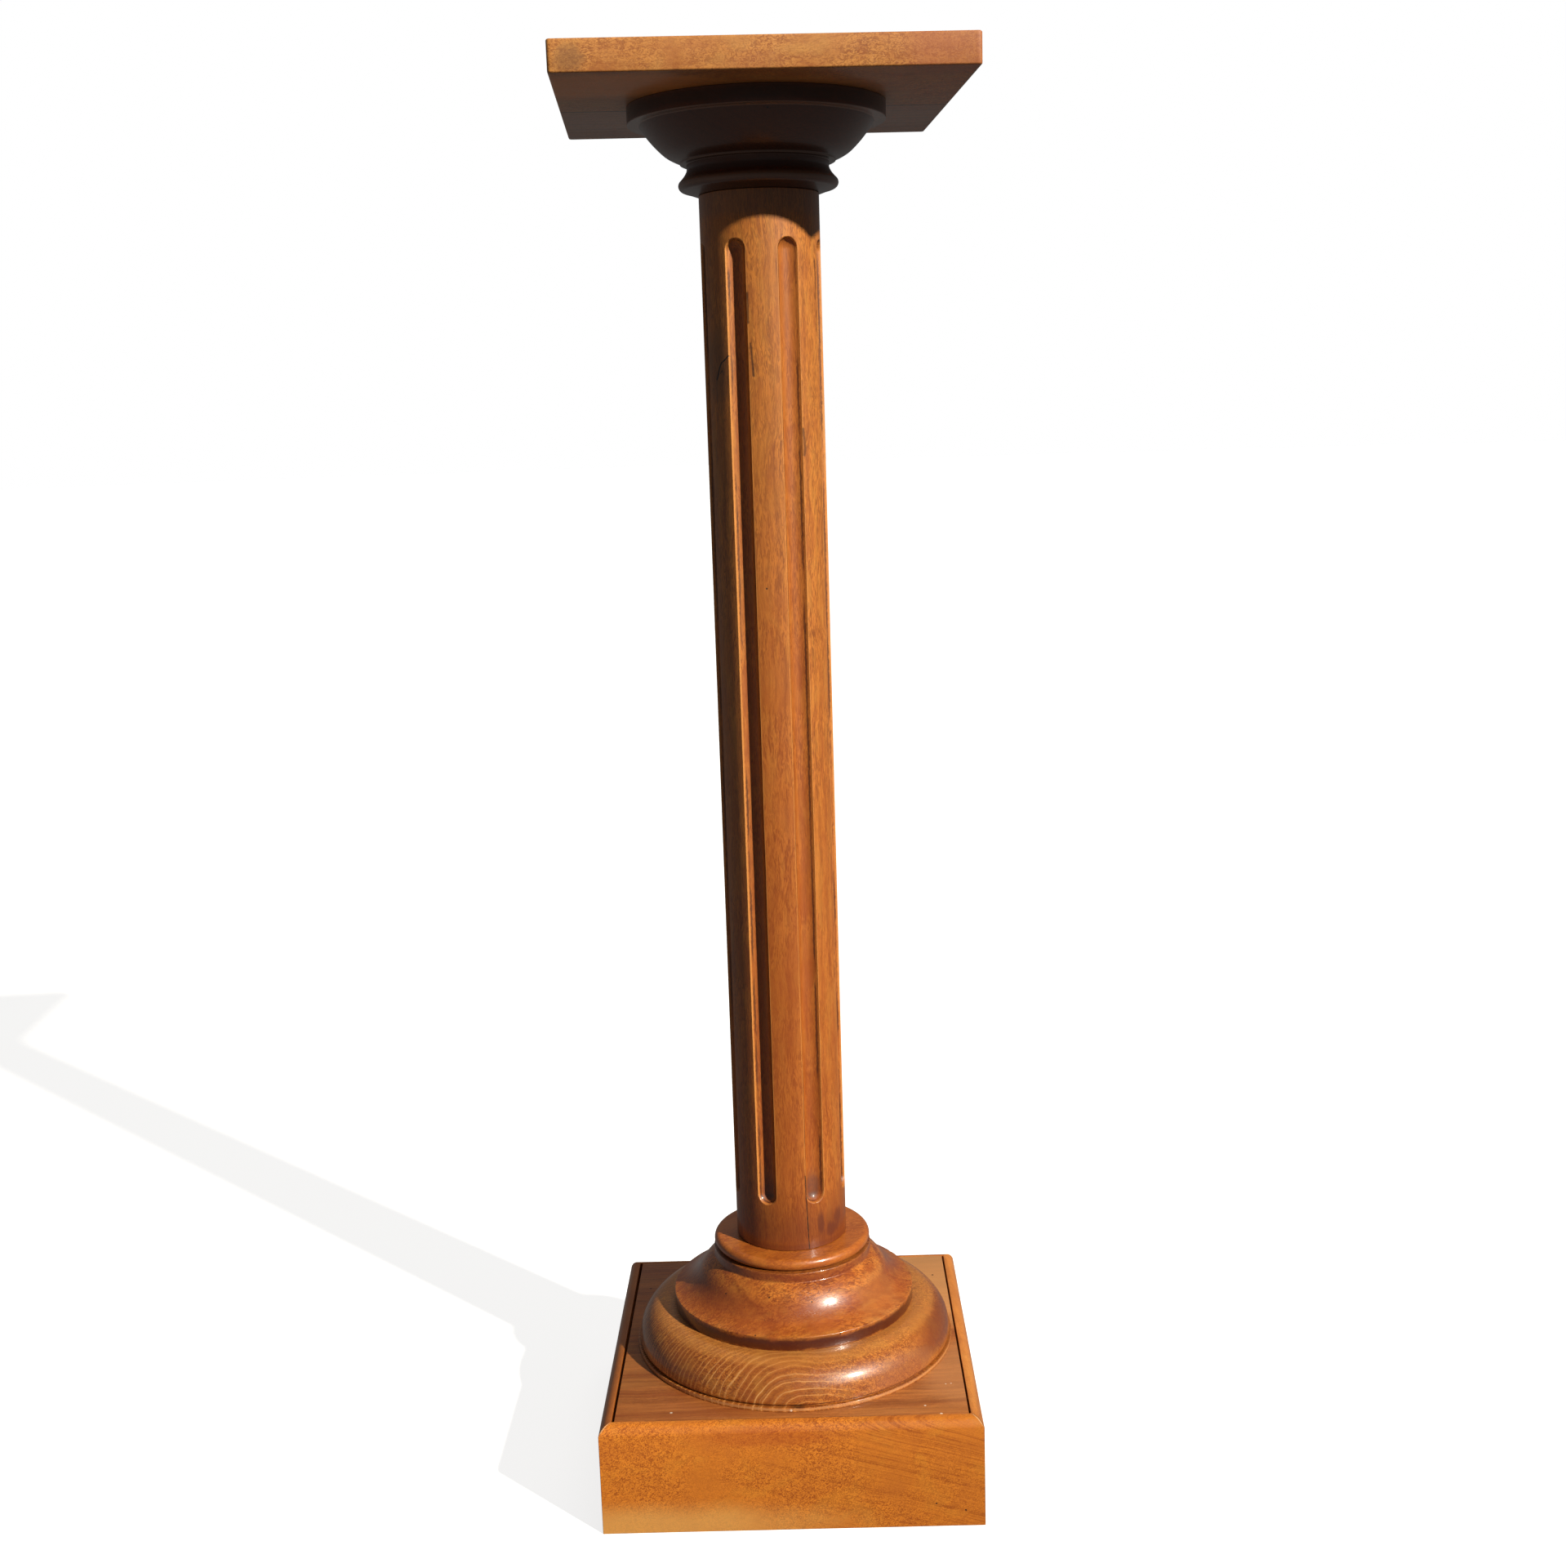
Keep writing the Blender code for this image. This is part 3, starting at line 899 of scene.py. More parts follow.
def turning(profile: Sequence[Point], foot: float, steps: int = TURNED_SIDES,
            worn: float = WORN_ARRIS, bend: float = TURNED_CORNER) -> Mesh:
    """Turn an outline about the column's axis.

    Args:
        profile: Points (radius, height above the foot), from the top down.
        foot: Height of the piece's foot.
        steps: How many sides the circle has.
        worn: How far from a corner its rounding starts.
        bend: The least turn in degrees that counts as a corner.

    Returns:
        The closed mesh.
    """
    bm = bmesh.new()
    outline = eased(profile, worn, bend)
    outline = [(0.0, outline[0][1]), *outline, (0.0, outline[-1][1])]
    points = [bm.verts.new((radius, 0.0, foot + height)) for radius, height in outline]
    edges = [bm.edges.new(pair) for pair in zip(points, points[1:])]
    bmesh.ops.spin(bm, geom=points + edges, cent=(0, 0, 0), axis=(0, 0, 1),
                   angle=2 * math.pi, steps=steps, use_merge=True, use_duplicate=False)
    bmesh.ops.remove_doubles(bm, verts=bm.verts, dist=MERGE)
    return bm


# Sub-assemblies

class Side(Enum):
    """The plinth's boards: the solid's name, and quarter turns from the front."""

    FRONT = ("plinth_front", 0)
    RIGHT = ("plinth_right", 1)
    BACK = ("plinth_back", 2)
    LEFT = ("plinth_left", 3)


@dataclass
class Plinth:
    """Hollow box of four mitred boards with a panel let in.

    Attributes:
        woods: The wood of each solid, by its name.
        width: Outside width of the square.
        height: Height of the boards.
        centre: Where the middle is along X.
        thickness: Thickness of a board.
        edge: Width of the strip beside the panel.
        rounding: Width of the rounded upper outer arris.
        drop: How much taller than wide that arris is.
        bend: Last angle of its curve, in degrees.
        panel: Thickness of the panel.
        gap_left: Gap on the panel's left.
        gap_right: Gap on the panel's right.
        cuts: Cross cuts along a board, for its slight unevenness.
        uneven: How uneven a board's face is.
        lump: Length of one lump of that unevenness.
    """

    woods: Dict[str, Wood]
    width: float = 0.280
    height: float = 0.0844
    centre: float = -0.003
    thickness: float = 0.018
    edge: float = 0.009
    rounding: float = 0.008
    drop: float = 1.5
    bend: int = 66
    panel: float = 0.012
    gap_left: float = 0.0020
    gap_right: float = 0.0014
    cuts: int = 90
    uneven: float = 0.00010
    lump: float = 0.05

    def section(self) -> List[Point]:
        """Draw a board's section as (depth from the face, height).

        Returns:
            The outline with worn corners.
        """
        ledge = self.height - self.panel - JOINT_GAP
        inside = self.thickness / 3
        rounded = []
        for degrees in range(self.bend, -1, -6):
            angle = math.radians(degrees)
            rounded.append((
                self.rounding * (1 - math.sin(angle) / math.sin(math.radians(self.bend))),
                self.height - self.rounding * (1 - math.cos(angle)) * self.drop))
        outline = [(inside, 0.0), (0.0, 0.0), (0.0, self.height * 0.5), *rounded,
                   (self.edge, self.height), (self.edge, ledge),
                   (self.thickness, ledge), (self.thickness, 0.0), (inside, 0.0)]
        return eased(outline, 0.0005, 30.0)[:-1]

    def board(self, side: Side) -> Item:
        """Build one mitred board.

        Args:
            side: Which board.

        Returns:
            The finished board.
        """
        node, quarter = side.value
        half = self.width / 2
        mitre = JOINT_GAP / math.sqrt(2)
        bm = bmesh.new()
        cap = bm.faces.new([bm.verts.new((-1.0, depth - half, z))
                            for depth, z in self.section()])
        swept = bmesh.ops.extrude_face_region(bm, geom=[cap])["geom"]
        far = [item for item in swept if isinstance(item, bmesh.types.BMVert)]
        bmesh.ops.translate(bm, verts=far, vec=(2.0, 0, 0))
        long_edges = [e for e in bm.edges if abs(e.verts[0].co.x - e.verts[1].co.x) > 1.0]
        bmesh.ops.subdivide_edges(bm, edges=long_edges, cuts=self.cuts, use_grid_fill=True)
        for vertex in bm.verts:
            depth = vertex.co.y + half
            ends = 1.0 - abs(vertex.co.x) ** 8
            vertex.co.x *= half - depth - mitre
            if depth < self.edge * 0.98:
                wave = tremor(vertex.co.x, quarter * 3.1, vertex.co.z, self.lump)
                vertex.co.y += self.uneven * (1.0 + wave) * ends
        placed = Matrix.Translation((self.centre, 0, 0)) @ Matrix.Rotation(
            quarter * math.pi / 2, 4, "Z")
        bmesh.ops.transform(bm, matrix=placed, verts=bm.verts)
        return finished(node + "_board", bm, self.woods[node])

    def lid(self) -> Item:
        """Build the panel that lies on the rebates.

        Returns:
            The finished panel.
        """
        opening = self.width / 2 - self.edge
        low = Vector((self.centre - opening + self.gap_left, JOINT_GAP - opening,
                      self.height - self.panel))
        high = Vector((self.centre + opening - self.gap_right, opening - JOINT_GAP,
                       self.height))
        bm = block(low, high)
        bevelled(bm, bm.edges[:], 0.0004, 2)
        return finished("let_in_panel", bm, self.woods["plinth_panel"])

    def build(self) -> None:
        """Build and fix the five pieces."""
        for side in Side:
            mounted(self.board(side), "plinth_wood", side.value[0])
        mounted(self.lid(), "panel_wood", "plinth_panel")


@dataclass
class Base:
    """The two turned rings between the plinth and the shaft.

    Points in its outlines are (radius, height above the ring's own foot).

    Attributes:
        torus_wood: The lower ring's wood.
        bell_wood: The upper ring's wood.
        torus_foot: Height of the lower ring's foot.
        bell_foot: Height of the upper ring's foot.
        nick: Depth of the nicks in the band's upper edge.
    """

    torus_wood: Wood
    bell_wood: Wood
    torus_foot: float = 0.0847
    bell_foot: float = 0.1173
    nick: float = 0.0012

    def torus(self) -> Item:
        """Build the lower ring: a bold round with a faint arris, on a thin foot."""
        top, middle, arris = (0.088, 0.0323), (0.0977, 0.0055), 23.3
        flank_radius, under = 0.1226, ((0.1222, 0.0042), (0.1205, 0.0030))
        foot = ((0.1241, 0.0030), (0.1241, 0.0))
        swell = arc(middle, 0.0249, 0.0268, 90.0, arris, 22)
        start = swell[-1]
        flank = [(start[0] + (flank_radius - start[0]) * (1 - (1 - t)**1.5),
                  start[1] + (middle[1] - start[1]) * t)
                 for t in (i / 8 for i in range(1, 9))]
        bm = turning([top, *swell, *flank, *under, *foot], self.torus_foot)
        return finished("torus_ring", bm, self.torus_wood)

    def bell(self) -> Item:
        """Build the upper ring: bead, quirk, fillet, bell and band."""
        quirk, shoulder = ((0.0592, 0.0460), (0.0612, 0.0455)), (0.0612, 0.0383)
        waist, rim = (0.0736, 0.0252), (0.0939, 0.0103)
        bead = arc((0.0564, 0.0509), 0.0044, 0.0044, 90.0, -90.0, 22)
        flank = sweep(shoulder, waist, 33.0, 59.0, 14)
        flare = sweep(waist, rim, 59.0, 16.0, 18)
        bm = turning([*bead, *quirk, *flank, *flare[1:], (rim[0], 0.0)], self.bell_foot)
        for vertex in bm.verts:
            near = max(0.0, 1.0 - abs(vertex.co.z - self.bell_foot - rim[1]) / 0.0012)
            if vertex.co.xy.length > 0.0925 and near > 0.0:
                nick = max(0.0, tremor(vertex.co.x, vertex.co.y, 0.3, 0.0045) - 0.42)
                vertex.co.xy *= 1.0 - 0.010 * nick * near
                vertex.co.z -= self.nick * nick * near
        return finished("bell_ring", bm, self.bell_wood)

    def build(self) -> None:
        """Build and fix both rings."""
        mounted(self.torus(), "ringed_wood", "base_torus")
        mounted(self.bell(), "turned_wood", "base_bell")


@dataclass
class Shaft:
    """A cylinder with round-nosed flutes that stop short of both ends.

    Attributes:
        wood: Its wood.
        foot: Height of its foot.
        length: Its length.
        radius: Its radius.
        count: How many flutes it has.
        first: Angle of the first flute, in degrees to the right of the front.
        nose: Radius of the cutter.
        depth: How deep it went.
        below: Plain shaft under the flutes.
        above: Plain shaft over them.
        soft: How far the flutes' edges are rounded.
    """

    wood: FlutedWood
    foot: float = 0.1729
    length: float = 0.7810
    radius: float = 0.0427
    count: int = 7
    first: float = 27.3
    nose: float = 0.0083
    depth: float = 0.0060
    below: float = 0.0364
    above: float = 0.0324
    soft: float = 0.00025

    def surface(self, offset: float, height: float, flute: int) -> float:
        """Distance of the surface from the axis.

        Args:
            offset: Angle from the nearest flute's middle, in radians.
            height: Height above the ground.
            flute: Which flute that is.

        Returns:
            The radius there.
        """
        reach = math.sqrt(self.nose**2 - (self.nose - self.depth)**2)
        low = self.foot + self.below + reach
        high = self.foot + self.length - self.above - reach
        beyond = max(0.0, low - height, height - high)
        sway = tremor(height, flute * 2.7, 0.5 if offset > 0 else 1.9, 0.045)
        offset = abs(offset) + sway * 0.00012 / self.radius
        centre = self.radius + self.nose - self.depth
        inside = self.nose**2 - (centre * math.sin(offset))**2 - beyond**2
        if inside <= 0.0:
            return self.radius
        cut = centre * math.cos(offset) - math.sqrt(inside)
        blend = min(1.0, max(0.0, 0.5 + 0.5 * (cut - self.radius) / self.soft))
        return (cut * (1 - blend) + self.radius * blend) - self.soft * blend * (1 - blend)

    def columns(self) -> List[float]:
        """Angles in degrees from a flute's middle to the land's middle, close at the edge."""
        land = 180.0 / self.count
        marks = [(0.0, 9.0, 12), (9.0, 12.0, 12), (12.0, land, 8)]
        return [low + (high - low) * i / steps for low, high, steps in marks
                for i in range(steps)] + [land]

    def rows(self) -> List[float]:
        """Heights above the foot from the top down, close at the flutes' ends."""
        top_end, low_end = self.length - self.above, self.below
        marks = [(self.length, top_end + 0.0012, 5), (top_end + 0.0012, top_end - 0.0092, 30),
                 (top_end - 0.0092, low_end + 0.0092, 60),
                 (low_end + 0.0092, low_end - 0.0012, 30), (low_end - 0.0012, 0.0, 6)]
        return [high + (low - high) * i / steps for high, low, steps in marks
                for i in range(steps)] + [0.0]

    def build(self) -> None:
        """Build and fix the shaft."""
        half = self.columns()
        per_flute = 2 * (len(half) - 1)
        inner_radius = self.radius * 0.9
        outline = [(inner_radius, self.length), *((self.radius, z) for z in self.rows()),
                   (inner_radius, 0.0)]
        bm = turning(outline, self.foot, per_flute * self.count, 0.0004, 40.0)
        step = 2 * math.pi / (per_flute * self.count)
        for vertex in bm.verts:
            out = vertex.co.xy.length
            if out < 1e-6:
                continue
            place = round((math.atan2(vertex.co.y, vertex.co.x) % (2 * math.pi)) / step)
            flute, inner = divmod(place, per_flute)
            near, offset = flute % self.count, math.radians(half[min(inner, per_flute - inner)])
            if inner > per_flute // 2:
                near, offset = (near + 1) % self.count, -offset
            if out > self.radius - 1e-6:
                out = self.surface(offset, vertex.co.z, near)
            middle = math.radians(self.first) + near * 2 * math.pi / self.count
            turn = middle + offset - math.pi / 2
            vertex.co.x, vertex.co.y = out * math.cos(turn), out * math.sin(turn)
        mounted(finished("fluted_shaft", bm, self.wood, 50.0), "shaft_wood", "shaft")


@dataclass
class Capital:
    """Disc, echinus, neck and astragal, turned as one piece.

    Attributes:
        wood: Its wood.
        foot: Height of its foot.
    """

    wood: Wood
    foot: float = 0.9542

    def build(self) -> None:
        """Build and fix the capital."""
        disc, disc_foot, bowl_top = (0.0911, 0.0597), 0.0479, 0.0830
        bend, bowl_foot, ledge = (0.0675, 0.0292), (0.0552, 0.0226), 0.0212
        neck, underside = (0.0504, 0.0172), (0.0446, 0.0)
        flank = sweep((bowl_top, disc_foot), bend, 60.0, 42.0, 14)
        bowl = sweep(bend, bowl_foot, 42.0, 20.0, 10)
        astragal = arc((0.0530, 0.0067), 0.0038, 0.0038, 45.0, -90.0, 16)
        flare = sweep(neck, astragal[0], 75.0, 45.0, 10)
        profile = [disc, (disc[0], disc_foot), *flank, *bowl[1:], (bowl_foot[0], ledge),
                   (neck[0], ledge), *flare[:-1], *astragal, underside]
        mounted(finished("turned_capital", turning(profile, self.foot), self.wood),
                "turned_wood_dark", "capital")


@dataclass
class TopBoard:
    """The square top: two boards glued edge to edge, fixed a little askew.

    Attributes:
        front_wood: The front board's wood.
        back_wood: The back board's wood.
        foot: Height of its underside.
        width: Side of the square.
        thickness: Its thickness.
        seam: Depth of the front board.
        turn: How far it is turned, in degrees, seen from above.
        arris: Rounding of the long edges.
        corner: Rounding of the upright corners.
        cuts: Stretches that a board is cut into along the front.
        chip_reach: How far from the lower front arris its chips go.
        chip_up: How high the deepest chips are.
        chip_in: How far in they go.
    """

    front_wood: Wood
    back_wood: Wood
    foot: float = 1.0142
    width: float = 0.2756
    thickness: float = 0.0207
    seam: float = 0.1488
    turn: float = 4.0
    arris: float = 0.0013
    corner: float = 0.0026
    cuts: int = 140
    chip_reach: float = 0.0030
    chip_up: float = 0.0015
    chip_in: float = 0.0012

    def chip(self, bm: Mesh, near: float) -> None:
        """Chip the lower front arris.

        Args:
            bm: The board, before it is turned.
            near: Its front edge along Y.
        """
        for vertex in bm.verts:
            bottom = max(0.0, 1.0 - (vertex.co.z - self.foot) / self.chip_reach)
            front = max(0.0, 1.0 - abs(vertex.co.y - near) / self.chip_reach)
            if bottom * front > 0:
                chip = max(0.0, tremor(vertex.co.x, 0.7, 2.1, 0.0065) - 0.30)
                slow = 0.5 + 0.5 * tremor(vertex.co.x, 0.2, 5.0, 0.06)
                vertex.co.z += self.chip_up * chip * slow * bottom * front
                vertex.co.y += self.chip_in * chip * slow * bottom * front

    def board(self, name: str, near: float, far: float, joint: float,
              wood: Wood) -> Item:
        """Build one of the two boards.

        Args:
            name: The piece's name.
            near: Its front edge along Y, before it is turned.
            far: Its back edge.
            joint: Which of the two is the glued edge.
            wood: Its wood.

        Returns:
            The finished board.
        """
        half = self.width / 2
        low = Vector((-half, near, self.foot))
        high = Vector((half, far, self.foot + self.thickness))
        bm = block(low, high)

        def free(upright: bool) -> List[Edge]:
            """The upright or the level edges that aren't on the glued joint."""
            return [e for e in bm.edges
                    if not all(abs(v.co.y - joint) < JOINT_GAP / 4 for v in e.verts)
                    and upright == (abs(e.verts[0].co.z - e.verts[1].co.z) > self.thickness / 2)]

        bevelled(bm, free(True), self.corner, 5)
        rims = [e for e in free(False) if len({round(f.normal.z) for f in e.link_faces}) > 1]
        bevelled(bm, rims, self.arris, 4)
        for i in range(1, self.cuts):
            cut = low.x + (high.x - low.x) * i / self.cuts
            bmesh.ops.bisect_plane(bm, geom=bm.verts[:] + bm.edges[:] + bm.faces[:], dist=1e-7,
                                   plane_co=(cut, 0, 0), plane_no=(1, 0, 0))
        if near < 0:
            self.chip(bm, near)
        bmesh.ops.rotate(bm, cent=(0, 0, 0), verts=bm.verts,
                         matrix=Matrix.Rotation(math.radians(self.turn), 3, "Z"))
        return finished(name, bm, wood)

    def build(self) -> None:
        """Build and fix both boards."""
        half = self.width / 2
        joint = self.seam - half
        front = self.board("front_top_board", -half, joint, joint, self.front_wood)
        back = self.board("back_top_board", joint + JOINT_GAP, half, joint + JOINT_GAP,
                          self.back_wood)
        mounted(front, "top_board_wood", "top_board_front")
        mounted(back, "top_board_wood", "top_board_back")


# Studio

@dataclass(frozen=True)
class Lamp:
    """A lamp that points at the column.

    Attributes:
        name: Its name.
        azimuth: Where it stands, in degrees to the right of the front.
        height: Degrees above the horizon.
        power: Its strength.
        size: Degrees of a sun, or metres of an area.
        colour: Its colour.
        away: Its distance in metres.
        kind: SUN or AREA.
    """

    name: str
    azimuth: float
    height: float
    power: float
    size: float
    colour: Colour
    away: float = 3.0
    kind: str = "AREA"

    def build(self) -> None:
        """Set the lamp; an area lamp fills without glare."""
        data = bpy.data.lights.new(self.name, self.kind)
        data.energy, data.color = self.power, self.colour
        item = bpy.data.objects.new(self.name, data)
        if self.kind == "SUN":
            data.angle = math.radians(self.size)
        else:
            data.size = self.size
            item.visible_glossy = False
        turn, rise = math.radians(self.azimuth), math.radians(self.height)
        toward = Vector((math.sin(turn) * math.cos(rise), -math.cos(turn) * math.cos(rise),
                         math.sin(rise)))
        item.matrix_world = (Matrix.Translation(Vector((0, 0, 0.5)) + toward * self.away)
                             @ toward.to_track_quat("Z", "Y").to_matrix().to_4x4())
        bpy.context.scene.collection.objects.link(item)


@dataclass
class Studio:
    """Camera, lights, pale floor and backdrop.

    Attributes:
        eye: Where the camera is.
        yaw: How far it is turned to the left of straight back, in degrees.
        pitch: How far it looks down.
        roll: How far it leans.
        lens: Focal length in millimetres on a 36 mm frame.
        lamps: The key light and the soft fills.
    """

    eye: Triple = (0.02183, -1.37593, 0.79286)
    yaw: float = -0.739
    pitch: float = 10.872
    roll: float = -1.801
    lens: float = 42.844
    lamps: Tuple[Lamp, ...] = (
        Lamp("key", 46.6, 31.8, 5.2, 1.2, (1.0, 0.93, 0.82), kind="SUN"),
        Lamp("back_fill", 175.0, 45.0, 26.0, 2.4, (1.0, 0.97, 0.92)),
        Lamp("left_fill", -75.0, -3.0, 1.2, 1.2, (1.0, 0.95, 0.90), 1.6))

    def camera(self) -> None:
        """Set the camera at the photograph's angle."""
        yaw, pitch, roll = (math.radians(a) for a in (self.yaw, self.pitch, self.roll))
        ahead = Vector((math.sin(yaw) * math.cos(pitch), math.cos(yaw) * math.cos(pitch),
                        -math.sin(pitch)))
        level = Vector((math.cos(yaw), -math.sin(yaw), 0.0))
        upright = level.cross(ahead)
        right = level * math.cos(roll) + upright * math.sin(roll)
        up = upright * math.cos(roll) - level * math.sin(roll)
        data = bpy.data.cameras.new("camera")
        data.lens, data.sensor_width, data.sensor_fit = self.lens, 36.0, "HORIZONTAL"
        data.clip_start, data.clip_end = 0.02, 60.0
        item = bpy.data.objects.new("camera", data)
        frame = Matrix((right, up, -ahead)).transposed().to_4x4()
        item.matrix_world = Matrix.Translation(self.eye) @ frame
        bpy.context.scene.collection.objects.link(item)
        bpy.context.scene.camera = item

    def surroundings(self) -> None:
        """Set the white surroundings, which light and reflect less than they show."""
        world = bpy.data.worlds.new("surroundings")
        world.use_nodes = True
        tree = world.node_tree
        tree.nodes.clear()

        def glow(colour: Colour, strength: float) -> bpy.types.Node:
            """One even background."""
            node = tree.nodes.new("ShaderNodeBackground")
            node.inputs["Color"].default_value = (*colour, 1.0)
            node.inputs["Strength"].default_value = strength
            return node

        def choose(amount: Socket, *pair: bpy.types.Node) -> bpy.types.Node:
            """One background or another."""
            node = tree.nodes.new("ShaderNodeMixShader")
            sources = (amount, *(item.outputs[0] for item in pair))
            for socket, source in zip(node.inputs, sources):
                tree.links.new(source, socket)
            return node

        path = tree.nodes.new("ShaderNodeLightPath").outputs
        place = tree.nodes.new("ShaderNodeTexCoord").outputs["Generated"]
        parts = tree.nodes.new("ShaderNodeSeparateXYZ")
        tree.links.new(place, parts.inputs[0])
        rise = tree.nodes.new("ShaderNodeMapRange")
        for key, value in (("From Min", -0.15), ("From Max", 0.10)):
            rise.inputs[key].default_value = value
        tree.links.new(parts.outputs["Z"], rise.inputs["Value"])
        ground, sky = glow((1.0, 0.97, 0.94), 0.15), glow((0.96, 0.98, 1.0), 0.10)
        soft, white = glow((1.0, 0.94, 0.88), 0.062), glow((1.0, 1.0, 1.0), 1.0)
        unseen = choose(path["Is Glossy Ray"], soft, choose(rise.outputs[0], ground, sky))
        seen = choose(path["Is Camera Ray"], unseen, white)
        out = tree.nodes.new("ShaderNodeOutputWorld")
        tree.links.new(seen.outputs[0], out.inputs["Surface"])
        bpy.context.scene.world = world

    def floor(self) -> None:
        """Lay a plain pale floor."""
        bm = bmesh.new()
        bmesh.ops.create_circle(bm, cap_ends=True, segments=96, radius=40.0)
        mesh = bpy.data.meshes.new("floor")
        bm.to_mesh(mesh)
        bm.free()
        mesh.materials.append(Bench("pale_floor").shade({
            "Base Color": (0.55, 0.55, 0.54, 1.0), "Roughness": 0.95,
            "Emission Color": (1.0, 1.0, 1.0, 1.0), "Emission Strength": 0.78}))
        item = bpy.data.objects.new("floor", mesh)
        item.visible_diffuse = False
        item.visible_glossy = False
        bpy.context.scene.collection.objects.link(item)

    def build(self) -> None:
        """Set everything round the pedestal."""
        self.camera()
        for lamp in self.lamps:
            lamp.build()
        self.surroundings()
        self.floor()


# Woods of this pedestal

def front_board_wood() -> Wood:
    """The plinth's front board, pale at its worn corners and, as a painted reflection of the
    ground, at the lower left.
    """
    worn = (0.80, 0.47, 0.21)
    corners_worn = tuple(Zone((x, -135.5, 82.0), (8.0, 1.1, 9.0), worn, 0.75, turn, 0.2)
                         for x, turn in ((-138.5, 45.0), (132.5, -45.0)))
    return PlanedWood(
        "front_board_wood", turn=(0, 74.0, 18.0), pith=(0, 90.0, -140.0), ring_pitch=13.0,
        rings=0.32, fleck=1.0, fleck_size=1.4, fleck_fade=(10.0, 230.0), mottle=0.24,
        mottle_size=22.0, streak=0.22, pale=(0.70, 0.222, 0.021), deep=(0.31, 0.070, 0.006),
        coat=0.30,
        zones=(
            # Painted reflection: the pale band at the lower left stands for the sheen of the
            # ground.
            Zone((-110.0, -141.0, 6.0), (190.0, 14.0, 23.0), (0.68, 0.35, 0.095), 0.70,
                 ragged=0.35, core=0.20),
            Zone((-20.0, -141.0, 74.0), (70.0, 12.0, 10.0), (0.38, 0.072, 0.008), 0.45,
                 ragged=0.9),
            *corners_worn,
            Zone((-3.0, -131.0, 84.4), (150.0, 0.9, 2.0), (0.07, 0.018, 0.007), 0.85,
                 ragged=0.4)),
        spots=(Spot((101.3, -140.0, 18.4), 0.9), Spot((122.6, -140.0, 12.6), 0.9)))


def panel_wood() -> Wood:
    """The let-in panel, with two worm holes and a few pale specks."""
    level = 84.4
    specks = ((-90.9, -120.3, 1.3, 0.8), (95.5, -118.8, 1.1, 0.7), (106.5, -130.7, 1.3, 0.8),
              (113.0, -88.2, 0.8, 0.6), (117.0, -87.6, 0.8, 0.6))
    return Wood(
        "panel_wood", turn=(0, 90.0, 2.0), pith=(0, 30.0, -90.0), ring_pitch=16.0, rings=0.55,
        streak=1.25, fleck=0.20, mottle=0.40, mottle_stretch=0.15,
        pale=(0.53, 0.180, 0.038), deep=(0.20, 0.052, 0.010), coat=0.42,
        zones=(
            Zone((118.0, 90.0, 84.0), (60.0, 110.0, 20.0), (0.76, 0.37, 0.13), 0.62,
                 ragged=0.9),
            Zone((128.0, -70.0, 84.0), (45.0, 60.0, 20.0), (0.50, 0.22, 0.08))),
        spots=(
            Spot((-121.4, 81.7, level), 1.3), Spot((116.1, 94.1, level), 1.2),
            *(Spot((x, y, level), radius, Mark.SPECK, strength)
              for x, y, radius, strength in specks)))


def plinth_woods() -> Dict[str, Wood]:
    """The woods of the four boards and the panel, by the solid's name."""
    return {
        "plinth_front": front_board_wood(),
        "plinth_right": Wood(
            "right_board_wood", turn=(90.0, 0, 4.0), pith=(60.0, 0, -60.0), ring_pitch=9.0,
            ring_edge=3.0, pale=(0.80, 0.30, 0.060), deep=(0.40, 0.12, 0.018)),
        "plinth_back": Wood(
            "back_board_wood", turn=(0, 86.0, 0), pith=(0, 40.0, 160.0), ring_pitch=11.0,
            ring_edge=3.0, fleck=0.6, pale=(0.70, 0.222, 0.021), deep=(0.31, 0.070, 0.006)),
        "plinth_left": Wood(
            "left_board_wood", turn=(90.0, 0, -3.0), pith=(-70.0, 0, -90.0), ring_pitch=8.0,
            rings=0.28, ring_edge=3.0, pale=(0.50, 0.155, 0.022), deep=(0.24, 0.062, 0.010)),
        "plinth_panel": panel_wood()}


def torus_wood() -> RingedWood:
    """The lower ring, stained at its right, with dirt over its foot and painted shade in the
    crease under its round.
    """
    return RingedWood(
        "ringed_torus_wood", turn=(0, 90.0, 0), pith=(0, 0, -40.0), pale=(0.64, 0.222, 0.034),
        deep=(0.22, 0.052, 0.008), rings=0.80, fleck=0.75, fleck_size=1.7, mottle=0.40,
        mottle_size=13.0, coat=0.85, coat_roughness=0.12, roughness=0.38,
        bands=(
            Band(116.5, 4.5, (0.80, 0.36, 0.08), 0.22),
            Band(86.4, 1.2, (0.66, 0.33, 0.13), 0.55),
            # Painted shade: a dark ring in the crease under the torus's round.
            Band(89.0, 1.0, (0.05, 0.016, 0.008), 0.55)),
        zones=(
            Zone((118.0, -30.0, 104.0), (42.0, 74.0, 14.0), (0.16, 0.032, 0.010), 0.72),
            Zone((84.0, -88.0, 96.0), (50.0, 36.0, 15.0), (0.28, 0.095, 0.042)),
            Zone((3.0, -124.0, 88.5), (9.0, 8.0, 1.6), (0.05, 0.014, 0.006), 0.8,
                 ragged=0.2)),
        spots=(Spot((-2.7, -124.0, 86.0), 1.2, Mark.SPECK, 0.7),))


